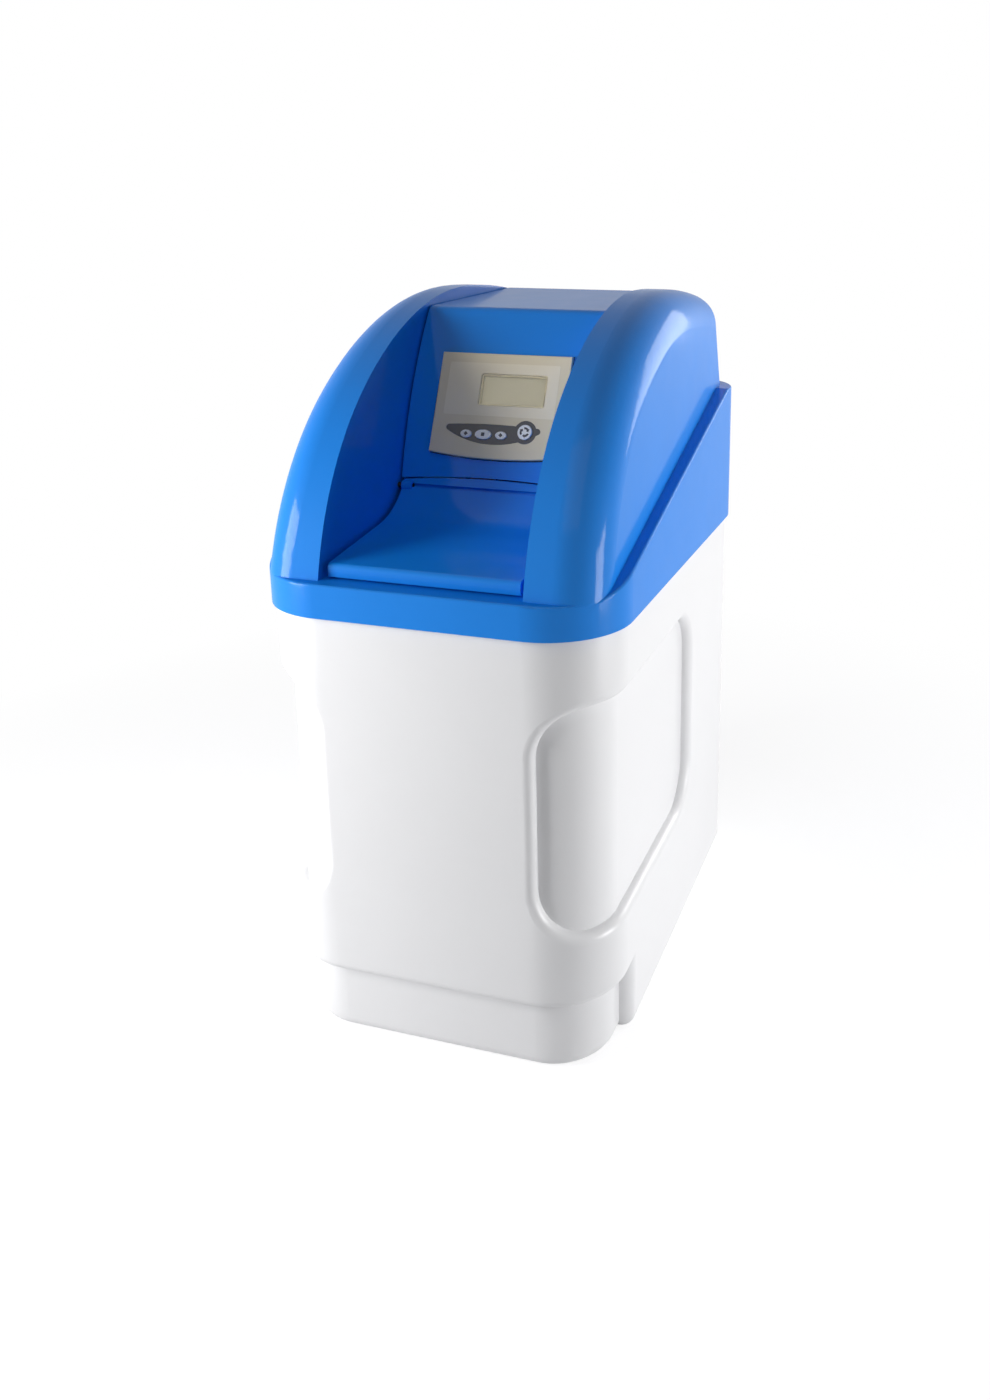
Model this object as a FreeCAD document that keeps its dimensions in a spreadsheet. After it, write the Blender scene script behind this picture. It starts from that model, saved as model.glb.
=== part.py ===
import FreeCAD, Part
import math
import os
import re
import Sketcher
from FreeCAD import Placement, Rotation, Vector

# Cabinet water softener. Millimetres, +Z up, the front towards -Y, and the origin on the
# floor under the middle of the hood. Distances "back" are measured from the hood's front.

SIZES = [
    # The hood: a skirt over the cabinet, and two wings that rise behind a slanted ledge
    ("hood_width", 330.0, "width over the skirt"),
    ("hood_depth", 510.0, "depth over the skirt"),
    ("hood_corner", 72.0, "plan radius of the skirt"),
    ("hood_wall", 3.0, "moulded wall"),
    ("skirt_lap", 20.0, "skirt below the cabinet's rim"),
    ("skirt_round", 2.2, "rounding of the skirt's upper edge"),
    ("ledge_step", 10.0, "front ledge over the cabinet's rim"),
    ("ledge_width", 10.0, "step in from the skirt to the wings"),
    ("ledge_start", 28.0, "back to where the ledge starts to rise"),
    ("ledge_stop", 80.0, "end of the ledge's rise, in from the rear"),
    ("ledge_rise", 116.0, "rise of the ledge from front to rear"),
    ("wing_angle", 77.6, "lean of the wings' foot from level"),
    ("wing_low_radius", 267.0, "lower arc of the wings' edge"),
    ("wing_low_sweep", 38.7, "turn of the lower arc"),
    ("wing_mid_radius", 343.0, "middle arc, which ends level"),
    ("wing_top_radius", 770.0, "flat arc of the top"),
    ("wing_top_sweep", 13.0, "turn of that arc"),
    ("wing_step", 48.0, "wings' foot, in from the hood's rear"),
    ("wing_rear_lean", 13.0, "lean of the rear face from upright"),
    ("wing_draft", 2.0, "lean of the outer sides"),
    ("wing_round", 38.0, "rounding along the outer front and top"),
    ("wing_rear_round", 14.0, "rounding of the rear corners"),
    ("channel_width", 184.0, "clear width between the wings"),
    ("rail_drop", 2.0, "rails that carry the fascia, under the panel's foot"),
    ("rail_width", 10.0, "width of each rail"),
    ("rim_flange", 7.0, "inner flange that sits on the cabinet"),
    ("salt_front", 36.0, "back to the salt opening's front edge"),
    ("salt_step", 14.0, "salt opening in front of the panel's foot"),
    ("salt_rim", 16.0, "ledge at each side of the salt opening"),
    ("sill_drop", 45.0, "pipe opening's lower edge under the pipes"),
    ("seat_gap", 0.3, "clearance of pieces that sit on each other"),

    # The cabinet
    ("cabinet_gap", 1.0, "clearance inside the skirt"),
    ("cabinet_top", 430.0, "height of the rim"),
    ("cabinet_wall", 4.0, "moulded wall"),
    ("recess_depth", 10.0, "depth of the hand recesses"),
    ("recess_low", 137.0, "lower edge of the recess"),
    ("recess_drop", 82.0, "recess's upper edge under the rim"),
    ("recess_reach", 66.0, "recess edge on the front, in from the side"),
    ("recess_back", 295.0, "back to the recess's rear edge"),
    ("recess_corner", 45.0, "corner radius of the recess"),
    ("recess_lip", 8.0, "rounding of its rim"),
    ("toe_height", 69.0, "height of the toe step"),
    ("toe_inset", 12.0, "depth of the toe step"),
    ("toe_back", 84.0, "back to the end of the toe step"),
    ("toe_end_round", 14.0, "rounding where the toe step ends"),
    ("toe_round", 9.0, "rounding over the toe step"),
    ("foot_round", 12.0, "rounding at the floor"),

    # The salt lid, from a flat nose to a steep rear edge
    ("lid_side_gap", 5.0, "lid to each wing"),
    ("lid_front", 18.0, "back to the lip"),
    ("lid_step", 13.0, "top of the lip over the front ledge"),
    ("lid_slope", 7.5, "slope of the flat part"),
    ("curve_step", 51.0, "lid's curve starts in front of the panel's foot"),
    ("lid_curve", 72.0, "radius of the upswept part"),
    ("lid_sweep", 54.5, "turn of the upswept part, a little past the seam"),
    ("lid_wall", 2.5, "moulded wall"),
    ("lid_skirt", 8.0, "depth of the sides under the top"),
    ("lip_drop", 11.0, "height of the lip"),
    ("lip_round", 5.0, "rounding over the lip"),
    ("seam_drop", 1.0, "seam of lid and fascia at the sides, under the panel's foot"),
    ("seam_bow", 4.0, "rise of the seam in the middle"),
    ("seam_gap", 1.6, "open gap of the seam"),
    ("pivot_step", 3.0, "hinge axis in front of the panel's foot"),
    ("pivot_drop", 6.5, "hinge axis under the panel's foot"),
    ("lid_pin_radius", 2.5, "hinge pins"),
    ("pin_gap", 0.1, "running clearance of pins and shafts"),
    ("hinge_ear", 5.0, "radius of the ears round the pins"),
    ("lid_tail", 6.5, "lid behind the hinge axis"),

    # The control fascia
    ("fascia_gap", 2.0, "gap to each wing"),
    ("fascia_wall", 2.5, "moulded wall"),
    ("housing_run", 86.0, "panel's foot in front of the housing's rear"),
    ("panel_step", 57.0, "foot of the panel over the front ledge"),
    ("panel_depth", 65.0, "run of the panel from foot to bend"),
    ("panel_rise", 144.0, "rise of the panel from foot to bend"),
    ("panel_crown", 6.9, "bulge of the panel over its chord"),
    ("roof_step", 11.0, "roof at the bend over the panel's upper end"),
    ("roof_rise", 8.0, "rise of the roof to the rear"),
    ("roof_bend", 10.0, "radius of the bend"),
    ("rear_drop", 92.0, "rear wall's lower edge under the roof"),

    # The controller, built on the leaning panel
    ("plate_side", 2.0, "faceplate's middle, right of the softener's"),
    ("plate_width", 130.0, "faceplate"),
    ("plate_low", 26.0, "up the panel to the faceplate's lower corners"),
    ("plate_high", 122.5, "up the panel to its upper edge"),
    ("plate_bow", 4.5, "bow of its lower edge"),
    ("plate_thick", 4.0, "thickness"),
    ("plate_round", 1.0, "rounding of its front edge"),
    ("plate_proud", 1.4, "stands proud of the panel"),
    ("plate_gap", 0.7, "gap round the faceplate"),
    ("window_width", 65.5, "display window"),
    ("window_length", 30.0, "display window, up the panel"),
    ("window_offset", 10.6, "window's middle, right of the plate's"),
    ("window_middle", 87.6, "up the panel to the window's middle"),
    ("window_thick", 1.6, "thickness of the lens"),
    ("window_corner", 2.0, "corners of the lens"),
    ("window_ledge", 1.5, "ledge under the lens"),
    ("window_sunk", 0.5, "lens under the faceplate's front"),
    ("display_margin", 3.0, "display module round the window"),
    ("overlay_thick", 0.5, "keypad overlay"),
    ("overlay_width", 106.0, "keypad overlay, end to end"),
    ("overlay_middle", -3.5, "its middle, right of the plate's"),
    ("overlay_rise", 52.0, "up the panel to its tips"),
    ("overlay_arch", 2.3, "rise of its upper edge over the tips"),
    ("overlay_sag", 16.8, "drop of its lower edge under the tips"),
    ("overlay_tip", 3.0, "rounding of its tips"),
    ("bulge_radius", 11.0, "bulge round the large button"),
    ("button_proud", 1.6, "buttons over the overlay"),
    ("button_travel", 1.0, "travel of a button"),
    ("button_round", 0.6, "rounding of a button's face"),
    ("button_flange", 1.2, "flange round a button's back"),
    ("button_stem", 1.5, "radius of a button's stem"),
    ("down_side", -29.2, "first arrow button, right of the plate's middle"),
    ("set_side", -12.1, "oval button"),
    ("up_side", 5.6, "second arrow button"),
    ("regen_side", 28.7, "large button"),
    ("button_row", 44.2, "up the panel to the row of buttons"),
    ("regen_rise", 48.5, "up the panel to the large button"),
    ("small_button", 5.5, "half length of the two arrow buttons"),
    ("small_height", 3.7, "their half height"),
    ("oval_button", 8.1, "half length of the oval button"),
    ("oval_height", 4.6, "its half height"),
    ("round_button", 7.0, "radius of the large button"),
    ("switch_height", 3.5, "switches on the board"),
    ("board_thick", 1.6, "circuit board"),
    ("board_side", 3.5, "board to the housing's sides"),
    ("board_foot", 6.0, "board to the housing's lower wall"),
    ("board_head", 4.0, "board to its upper wall"),
    ("chip_inset", 12.0, "chips, in from the board's edge"),
    ("jack_side", 45.0, "power inlet, left of the middle"),
    ("jack_rise", 38.0, "power inlet over the panel's foot"),
    ("jack_radius", 5.0, "power inlet"),
    ("board_depth", 9.0, "board under the faceplate's back"),
    ("housing_wall", 2.5, "controller housing"),
    ("housing_side", 3.0, "housing inside the faceplate's sides"),
    ("housing_low", 1.5, "housing inside the faceplate's lower edge"),
    ("housing_high", 2.0, "housing inside the faceplate's upper edge"),
    ("boss_radius", 3.0, "bosses under the board"),
    ("housing_gap", 11.0, "controller housing in front of the valve"),

    # The drive: motor, gears, camshaft
    ("shaft_rise", 30.0, "camshaft over the valve block"),
    ("shaft_radius", 5.0, "camshaft journals"),
    ("gear_module", 1.2, "module of the gear pair"),
    ("pinion_teeth", 12.0, "teeth"),
    ("wheel_teeth", 40.0, "teeth"),
    ("gear_width", 7.0, "face width"),
    ("motor_radius", 17.0, "gear motor"),
    ("motor_length", 20.0, "gear motor"),
    ("cam_base", 9.5, "radius of a cam's dwell"),
    ("cam_lift", 4.5, "rise of a lobe"),
    ("cam_width", 9.0, "width of a cam"),
    ("cam_pitch", 21.0, "from cam to cam"),
    ("cam_offset", 13.0, "first cam behind the block's front"),

    # The valve on top of the resin tank
    ("valve_half", 27.0, "half width of the valve block"),
    ("valve_reach", 105.0, "valve block in front of the tank's axis"),
    ("valve_length", 141.0, "valve block, front to rear"),
    ("valve_lift", 19.0, "valve block over the tank's neck"),
    ("valve_high", 48.0, "height of the block"),
    ("cover_thick", 6.0, "top plate"),
    ("port_spread", 26.0, "pipes from the middle line"),
    ("port_rise", 19.0, "pipe line over the block's underside"),
    ("port_radius", 15.5, "outside of the galleries"),
    ("port_bore", 11.0, "bore of the galleries"),
    ("port_reach", 30.0, "galleries behind the block"),
    ("disc_arm", 3.0, "thickness of a lever"),
    ("disc_pivot", 17.0, "levers' pin, left of the middle"),
    ("disc_radius", 6.5, "sealing disc"),
    ("disc_open", 7.0, "degrees that a lever opens"),
    ("pocket_depth", 10.0, "valve pockets under the plate"),
    ("injector_offset", 33.0, "injector behind the block's front"),
    ("brine_offset", 68.0, "brine port behind the block's front"),
    ("drain_offset", 88.0, "drain port behind the block's front"),

    # The resin tank
    ("tank_inset", 148.0, "tank's axis, in from the hood's rear"),
    ("tank_radius", 103.0, "outside of the tank"),
    ("tank_wall", 3.0, "wound wall"),
    ("tank_foot", 8.0, "height of the tank's lowest point"),
    ("tank_dome", 52.0, "height of each dome"),
    ("shoulder_drop", 50.0, "start of the upper dome under the cabinet's rim"),
    ("neck_radius", 31.0, "tank neck"),
    ("neck_rise", 67.0, "top of the neck over that"),
    ("collar_radius", 39.0, "adapter collar"),
    ("boot_height", 46.0, "base cup"),
    ("bed_height", 250.0, "top of the resin"),
    ("riser_radius", 13.3, "riser pipe"),
    ("riser_wall", 2.0, "riser pipe"),
    ("basket_radius", 20.0, "slotted baskets"),

    # The bypass valve and the pipe connections
    ("bypass_length", 46.0, "front to rear"),
    ("barrel_radius", 17.5, "barrels"),
    ("rotor_radius", 13.0, "rotors"),
    ("rotor_bore", 9.0, "way through a rotor"),
    ("handle_length", 44.0, "bypass handles"),
    ("pipe_radius", 13.2, "pipe stub outside"),
    ("pipe_bore", 9.5, "pipe stub inside"),
    ("pipe_reach", 22.0, "stub beyond the hood"),
    ("nut_radius", 20.0, "union nuts"),
    ("nut_length", 14.0, "union nuts"),
    ("nut_lap", 5.0, "nut over the bypass"),
    ("shank_wall", 1.3, "shank of a stub, inside its nut"),
    ("pipe_length", 47.5, "free length of a stub"),

    # The brine well, its float valve and its line
    ("well_inset", 67.0, "well's axis, in from the hood's side"),
    ("well_step", 130.0, "well's axis in front of the tank's"),
    ("well_radius", 43.0, "outside of the well"),
    ("well_wall", 2.5, "wall"),
    ("well_drop", 34.0, "well's top under the cabinet's rim"),
    ("brine_valve_radius", 24.0, "float valve"),
    ("brine_valve_top", 64.0, "height of its body"),
    ("float_height", 172.0, "float at rest"),
    ("float_travel", 40.0, "rise of the float"),
    ("line_radius", 4.75, "brine line outside"),
    ("line_straight", 29.0, "brine line's straight part beside the pipes"),
    ("line_offset", 19.0, "line, left of the well's axis"),
    ("float_offset", 13.0, "float rod, right of the well's axis"),
    ("float_radius", 17.0, "float"),
    ("float_length", 50.0, "float"),
    ("rod_radius", 2.0, "float rod"),
    ("rod_length", 190.0, "float rod"),
    ("overflow_inset", 85.0, "overflow, in from the hood's side"),
    ("overflow_height", 330.0, "height of the overflow"),
    ("barb_radius", 7.5, "hose barbs"),
    ("barb_bore", 5.0, "hose barbs"),
]

# Places and heights that follow from the sizes, each from those above it
FOLLOWING = [
    ("skirt_bottom", "cabinet_top - skirt_lap"),
    ("ledge_height", "cabinet_top + ledge_step"),
    ("recess_high", "cabinet_top - recess_drop"),
    ("recess_inner", "hood_width / 2 - recess_reach"),
    ("lid_width", "channel_width - 2 * lid_side_gap"),
    ("salt_width", "channel_width - 2 * salt_rim"),
    ("tank_back", "hood_depth - tank_inset"),
    ("valve_front", "tank_back - valve_reach"),
    ("valve_back", "valve_front + valve_length"),
    ("port_end", "valve_back + port_reach"),
    ("cam_start", "valve_front + cam_offset"),
    ("housing_back", "valve_front - housing_gap"),
    ("panel_back", "housing_back - housing_run"),
    ("lid_pivot_back", "panel_back - pivot_step"),
    ("salt_back", "panel_back - salt_step"),
    ("lid_flat_end", "panel_back - curve_step"),
    ("wing_foot_back", "hood_depth - wing_step"),
    ("ledge_end", "hood_depth - ledge_stop"),
    ("lid_height", "ledge_height + lid_step"),
    ("panel_foot", "ledge_height + panel_step"),
    ("seam_height", "panel_foot - seam_drop"),
    ("lid_pivot_height", "panel_foot - pivot_drop"),
    ("rail_height", "panel_foot - rail_drop"),
    ("roof_front", "panel_foot + panel_rise + roof_step"),
    ("rear_sill", "roof_front - rear_drop"),
    ("tank_shoulder", "cabinet_top - shoulder_drop"),
    ("neck_top", "tank_shoulder + neck_rise"),
    ("valve_floor", "neck_top + valve_lift"),
    ("valve_top", "valve_floor + valve_high"),
    ("port_height", "valve_floor + port_rise"),
    ("pipe_sill", "port_height - sill_drop"),
    ("shaft_height", "valve_top + shaft_rise"),
    ("well_side", "hood_width / 2 - well_inset"),
    ("well_back", "tank_back - well_step"),
    ("line_bend", "well_side - line_offset - port_spread - line_straight"),
    ("well_top", "cabinet_top - well_drop"),
    ("overflow_side", "hood_width / 2 - overflow_inset"),
]

document = FreeCAD.newDocument("WaterSoftener")
sheet = document.addObject("Spreadsheet::Sheet", "Sizes")
for row, (name, number, note) in enumerate(SIZES, start=1):
    sheet.set(f"A{row}", note)
    sheet.set(f"B{row}", str(number))
    sheet.setAlias(f"B{row}", name)
document.recompute()


def linked(text):
    """An expression in which every named size points to its cell."""
    text = str(text)
    for name, total in reversed(FOLLOWING):
        text = re.sub(rf"\b{name}\b", f"({total})", text)
    return re.sub(r"\b[a-z]+(?:_[a-z]+)+\b", r"Sizes.\g<0>", text)


def size(text):
    """The present value of an expression of named sizes."""
    return float(sheet.evalExpression(linked(text)))


def back(text):
    """The Y place of a distance measured back from the hood's front."""
    return f"({text}) - hood_depth / 2"


parts = []


def keep(thing, label):
    """Name a finished sub-part."""
    thing.Label = label
    parts.append(thing)
    return thing


TURNS = {"x": Rotation(Vector(0, 1, 0), 90),
         "y": Rotation(Vector(1, 0, 0), -90),
         "z": Rotation()}


def place(thing, x, y, z, axis="z"):
    thing.Placement = Placement(Vector(), TURNS[axis])
    for key, text in zip("xyz", (x, y, z)):
        thing.setExpression(f"Placement.Base.{key}", linked(text))
    return thing


def block(x, y, z, width, depth, height):
    """A box from its lowest corner."""
    thing = document.addObject("Part::Box", "Block")
    for key, text in zip(("Length", "Width", "Height"), (width, depth, height)):
        thing.setExpression(key, linked(text))
    return place(thing, x, y, z)


def rod(x, y, z, radius, length, axis="z"):
    """A round bar that starts at a point and runs along an axis."""
    thing = document.addObject("Part::Cylinder", "Rod")
    thing.setExpression("Radius", linked(radius))
    thing.setExpression("Height", linked(length))
    return place(thing, x, y, z, axis)


def cone(x, y, z, first, second, length, axis="z"):
    thing = document.addObject("Part::Cone", "Cone")
    thing.setExpression("Radius1", linked(first))
    thing.setExpression("Radius2", linked(second))
    thing.setExpression("Height", linked(length))
    return place(thing, x, y, z, axis)


def ring(x, y, z, radius, section, axis="z"):
    """A round seal."""
    thing = document.addObject("Part::Torus", "Ring")
    thing.setExpression("Radius1", linked(radius))
    thing.setExpression("Radius2", linked(section))
    return place(thing, x, y, z, axis)


def fuse(*things):
    thing = document.addObject("Part::MultiFuse", "Joined")
    thing.Shapes = list(things)
    thing.Refine = True
    return thing


def cut(base, *tools):
    thing = document.addObject("Part::Cut", "Trimmed")
    thing.Base = base
    thing.Tool = tools[0] if len(tools) == 1 else fuse(*tools)
    thing.Refine = True
    return thing


def group(*things):
    """Like pieces that share one node."""
    thing = document.addObject("Part::Compound", "Group")
    thing.Links = list(things)
    return thing


def formed(shape, name):
    """A sub-part whose shape is worked out here from the sheet's sizes."""
    thing = document.addObject("Part::Feature", name)
    thing.Shape = shape
    return thing


def turned(points, x, y, z, name):
    """A lathe-turned body: a sketch of radius and height pairs, revolved."""
    body = document.addObject("PartDesign::Body", name)
    plane = next(f for f in body.Origin.OriginFeatures if f.Role == "XZ_Plane")
    sketch = body.newObject("Sketcher::SketchObject", name + "Sketch")
    sketch.AttachmentSupport = [(plane, "")]
    sketch.MapMode = "FlatFace"
    places = [Vector(size(radius), size(height), 0) for radius, height in points]
    count = len(places)
    for number, start in enumerate(places):
        sketch.addGeometry(Part.LineSegment(start, places[(number + 1) % count]))
    for number in range(count):
        sketch.addConstraint(Sketcher.Constraint(
            "Coincident", number, 2, (number + 1) % count, 1))
    for number, (radius, height) in enumerate(points):
        for kind, text in (("DistanceX", radius), ("DistanceY", height)):
            index = sketch.addConstraint(
                Sketcher.Constraint(kind, -1, 1, number, 1, size(text)))
            sketch.setExpression(f"Constraints[{index}]", linked(text))
    turn = body.newObject("PartDesign::Revolution", name + "Turn")
    turn.Profile = sketch
    turn.ReferenceAxis = (sketch, ["V_Axis"])
    turn.Angle = 360
    return place(body, x, y, z)


def side_face(points):
    """A flat face in the middle plane, from (back, height) pairs."""
    half = size("hood_depth / 2")
    corners = [Vector(0, back_ - half, height) for back_, height in points]
    return Part.Face(Part.makePolygon(corners + corners[:1]))


def upright(wire):
    """Stand a wire drawn in (back, height) up in the middle plane."""
    half = size("hood_depth / 2")
    return wire.transformGeometry(FreeCAD.Matrix(0, 0, 1, 0, 1, 0, 0, -half, 0, 1, 0, 0))


def across(face, half_width):
    """Extrude a side face to both sides of the middle plane."""
    moved = face.translated(Vector(-half_width, 0, 0))
    return moved.extrude(Vector(2 * half_width, 0, 0))


def offset_path(points, distance):
    """An open path moved to its right, with mitred corners."""
    moved = []
    for number, point in enumerate(points):
        steps = []
        if number > 0:
            steps.append((point - points[number - 1]).normalize())
        if number < len(points) - 1:
            steps.append((points[number + 1] - point).normalize())
        normals = [Vector(step.y, -step.x, 0) for step in steps]
        if len(normals) == 1:
            moved.append(point + normals[0] * distance)
            continue
        middle = (normals[0] + normals[1]).normalize()
        moved.append(point + middle * (distance / middle.dot(normals[0])))
    return moved


def plan_prism(inset, low, high):
    """The hood's rounded plan, moved in by an inset, as an upright prism."""
    half_x = size("hood_width / 2") - inset
    half_y = size("hood_depth / 2") - inset
    prism = Part.makeBox(2 * half_x, 2 * half_y, high - low, Vector(-half_x, -half_y, low))
    edges = [e for e in prism.Edges if abs(e.tangentAt(e.FirstParameter).z) > 0.9]
    return prism.makeFillet(size("hood_corner") - inset, edges)


TOP = 800.0


def skirt_mass(inset, low):
    """The skirt as a full block, under the slanted ledge."""
    path = [Vector(-TOP, size("ledge_height"), 0),
            Vector(size("ledge_start"), size("ledge_height"), 0),
            Vector(size("ledge_end"), size("ledge_height + ledge_rise"), 0),
            Vector(TOP, size("ledge_height + ledge_rise"), 0)]
    path = offset_path(path, inset)
    outline = [(point.x, point.y) for point in path] + [(TOP, low), (-TOP, low)]
    return plan_prism(inset, low, TOP).common(across(side_face(outline), TOP))


def wing_path(inset):
    """Edges of the wings' side outline, in a plane of (back, height)."""
    heading = math.radians(size("wing_angle"))
    point = Vector(size("ledge_width"), size("ledge_height"), 0)
    point += Vector(math.sin(heading), -math.cos(heading), 0) * inset
    foot = Vector(point.x, size("skirt_bottom"), 0)
    edges = [Part.LineSegment(foot, point).toShape()]
    low_sweep = math.radians(size("wing_low_sweep"))
    arcs = [(size("wing_low_radius"), low_sweep),
            (size("wing_mid_radius"), heading - low_sweep),
            (size("wing_top_radius"), math.radians(size("wing_top_sweep")))]
    for radius, sweep in arcs:
        radius -= inset
        middle = heading - sweep / 2
        last = heading - sweep
        centre = point + Vector(math.sin(heading), -math.cos(heading), 0) * radius
        via = centre + Vector(-math.sin(middle), math.cos(middle), 0) * radius
        end = centre + Vector(-math.sin(last), math.cos(last), 0) * radius
        edges.append(Part.Arc(point, via, end).toShape())
        point = end
        heading = last
    corner = Vector(point.x, foot.y, 0)
    edges.append(Part.LineSegment(point, corner).toShape())
    edges.append(Part.LineSegment(corner, foot).toShape())
    return Part.Wire(edges)


def rear_mass(inset):
    """What lies in front of the wings' leaning rear face, with its corners rounded."""
    lean = math.tan(math.radians(size("wing_rear_lean")))
    foot = size("wing_foot_back") - inset / math.cos(math.atan(lean))
    level = size("ledge_height + ledge_rise")
    low = size("skirt_bottom")
    outline = [(foot + (level - low) * lean, low), (foot - (TOP - level) * lean, TOP),
               (-size("hood_corner"), TOP), (-size("hood_corner"), low)]
    return across(side_face(outline), TOP).common(side_slope(inset))


def side_slope(inset):
    """What lies between the wings' outer faces, which lean in as they rise."""
    lean = math.tan(math.radians(size("wing_draft")))
    half = size("hood_width / 2 - ledge_width") - inset / math.cos(math.atan(lean))
    low = size("skirt_bottom")
    foot = half + (size("ledge_height") - low) * lean
    head = foot - (TOP - low) * lean
    corners = [Vector(-foot, -TOP, low), Vector(foot, -TOP, low),
               Vector(head, -TOP, TOP), Vector(-head, -TOP, TOP)]
    return Part.Face(Part.makePolygon(corners + corners[:1])).extrude(Vector(0, 2 * TOP, 0))


def wing_mass(inset):
    """Both wings and the room between them, as one rounded block."""
    face = Part.Face(upright(wing_path(inset)))
    mass = across(face, size("hood_width")).common(side_slope(inset))
    rounding = size("wing_round") - inset
    sides = [e for e in mass.Edges
             if abs(e.CenterOfMass.x) > size("channel_width / 2")
             and abs(e.tangentAt(e.FirstParameter).x) < 0.5
             and e.CenterOfMass.y < size(back("wing_foot_back"))
             and e.BoundBox.ZMax > size("skirt_bottom") + 1]
    mass = mass.makeFillet(rounding, sides)
    rear = rear_mass(inset)
    edges = [e for e in rear.Edges
             if e.CenterOfMass.y > 0 and abs(e.tangentAt(e.FirstParameter).z) > 0.9]
    rear = rear.makeFillet(size("wing_rear_round") - inset, edges)
    return mass.common(rear).common(plan_prism(inset, size("skirt_bottom"), TOP))


def channel_path(drop):
    """The floor between the wings: the front sill, the slope under the lid, the rails."""
    slope = math.tan(math.radians(size("lid_slope")))
    under = size("lid_skirt + seat_gap") / math.cos(math.radians(size("lid_slope")))
    swing = math.hypot(size("lid_tail"), size("seam_height + seam_bow - lid_pivot_height"))
    clear = size("lid_pivot_back + 2 * seat_gap") + swing
    sill = size("ledge_height")
    step = size("lid_front + lip_round + lid_wall + 4 * seat_gap")

    def floor(back_):
        return size("lid_height") + (back_ - size("lid_front")) * slope - under

    path = [Vector(-TOP, sill, 0), Vector(step, sill, 0), Vector(step, floor(step), 0),
            Vector(clear, floor(clear), 0),
            Vector(clear, size("rail_height"), 0), Vector(TOP, size("rail_height"), 0)]
    return offset_path(path, drop)


def channel_mass(drop):
    """The room between the wings, above the channel's floor."""
    outline = [(point.x, point.y) for point in channel_path(drop)]
    outline += [(TOP, TOP), (-TOP, TOP)]
    return across(side_face(outline), size("channel_width / 2") + drop)


def made_hood():
    wall = size("hood_wall")
    low = size("skirt_bottom")
    skirt = skirt_mass(0, low)
    rims = [e for e in skirt.Edges
            if e.CenterOfMass.z > size("ledge_height") - 1
            and abs(e.tangentAt(e.FirstParameter).z) < 0.9
            and not_inside(e)]
    skirt = skirt.makeFillet(size("skirt_round"), rims)
    outer = skirt.fuse(wing_mass(0)).cut(channel_mass(0))
    inner = skirt_mass(wall, low - 1).fuse(wing_mass(wall)).cut(channel_mass(wall))
    shell = outer.cut(inner)
    flange = plan_prism(wall, size("cabinet_top"), size("cabinet_top") + wall)
    flange = flange.cut(plan_prism(wall + size("rim_flange"), low, TOP))
    shell = shell.fuse(flange)
    half = size("hood_depth / 2")
    salt = Part.makeBox(size("salt_width"), size("salt_back - salt_front"), TOP,
                        Vector(-size("salt_width / 2"), size("salt_front") - half, low))
    rails = size("channel_width / 2 - rail_width")
    start = channel_path(0)[4].x + wall
    well = Part.makeBox(2 * rails, TOP, TOP, Vector(-rails, start - half, size("rail_height") - 2 * wall))
    pipes = Part.makeBox(2 * rails, TOP, TOP, Vector(-rails, half - size("hood_corner"), size("pipe_sill")))
    shell = shell.cut(salt).cut(well).cut(pipes)
    pins = Part.makeCylinder(size("lid_pin_radius + pin_gap"), size("hood_width"),
                             Vector(-size("hood_width / 2"), size(back("lid_pivot_back")),
                                    size("lid_pivot_height")), Vector(1, 0, 0))
    reach = size("channel_width / 2") + 2 * wall
    pins = pins.common(Part.makeBox(2 * reach, TOP, TOP, Vector(-reach, -TOP / 2, 0)))
    return shell.cut(pins).removeSplitter()


def not_inside(edge):
    """True for an edge that runs along the outline of the skirt."""
    box = edge.BoundBox
    half_x, half_y = size("hood_width / 2"), size("hood_depth / 2")
    near_x = min(abs(abs(v.X) - half_x) for v in edge.Vertexes)
    near_y = min(abs(abs(v.Y) - half_y) for v in edge.Vertexes)
    crossing = abs(edge.tangentAt(edge.FirstParameter).x) > 0.99 and box.XLength > 2 * half_x - 1
    return not crossing and min(near_x, near_y) < 1e-3


def cabinet_plan(inset, low, high, rounding):
    """The cabinet's plan as a prism, rounded over along its lower edge."""
    prism = plan_prism(size("hood_wall + cabinet_gap") + inset, low, high)
    edges = [e for e in prism.Edges if e.BoundBox.ZMax < low + 1e-3]
    return prism.makeFillet(rounding, edges)


def cabinet_rear(inset):
    """The part behind the toe step, which reaches the floor at full width."""
    gap = size("hood_wall + cabinet_gap") + inset
    half_x = size("hood_width / 2") - gap
    rear = size("hood_depth / 2") - gap
    front = size(back("toe_back")) + inset
    mass = Part.makeBox(2 * half_x, rear - front, size("cabinet_top"), Vector(-half_x, front, inset))
    for place_, radius in ((rear, size("hood_corner") - gap), (front, size("toe_end_round") - inset)):
        edges = [e for e in mass.Edges if e.BoundBox.ZLength > TOP / 3
                 and abs(abs(e.CenterOfMass.x) - half_x) < 1e-3
                 and abs(e.CenterOfMass.y - place_) < 1e-3]
        mass = mass.makeFillet(radius, edges)
    edges = [e for e in mass.Edges if e.BoundBox.ZMax < inset + 1e-3]
    return mass.makeFillet(size("foot_round") - inset, edges)


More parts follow.
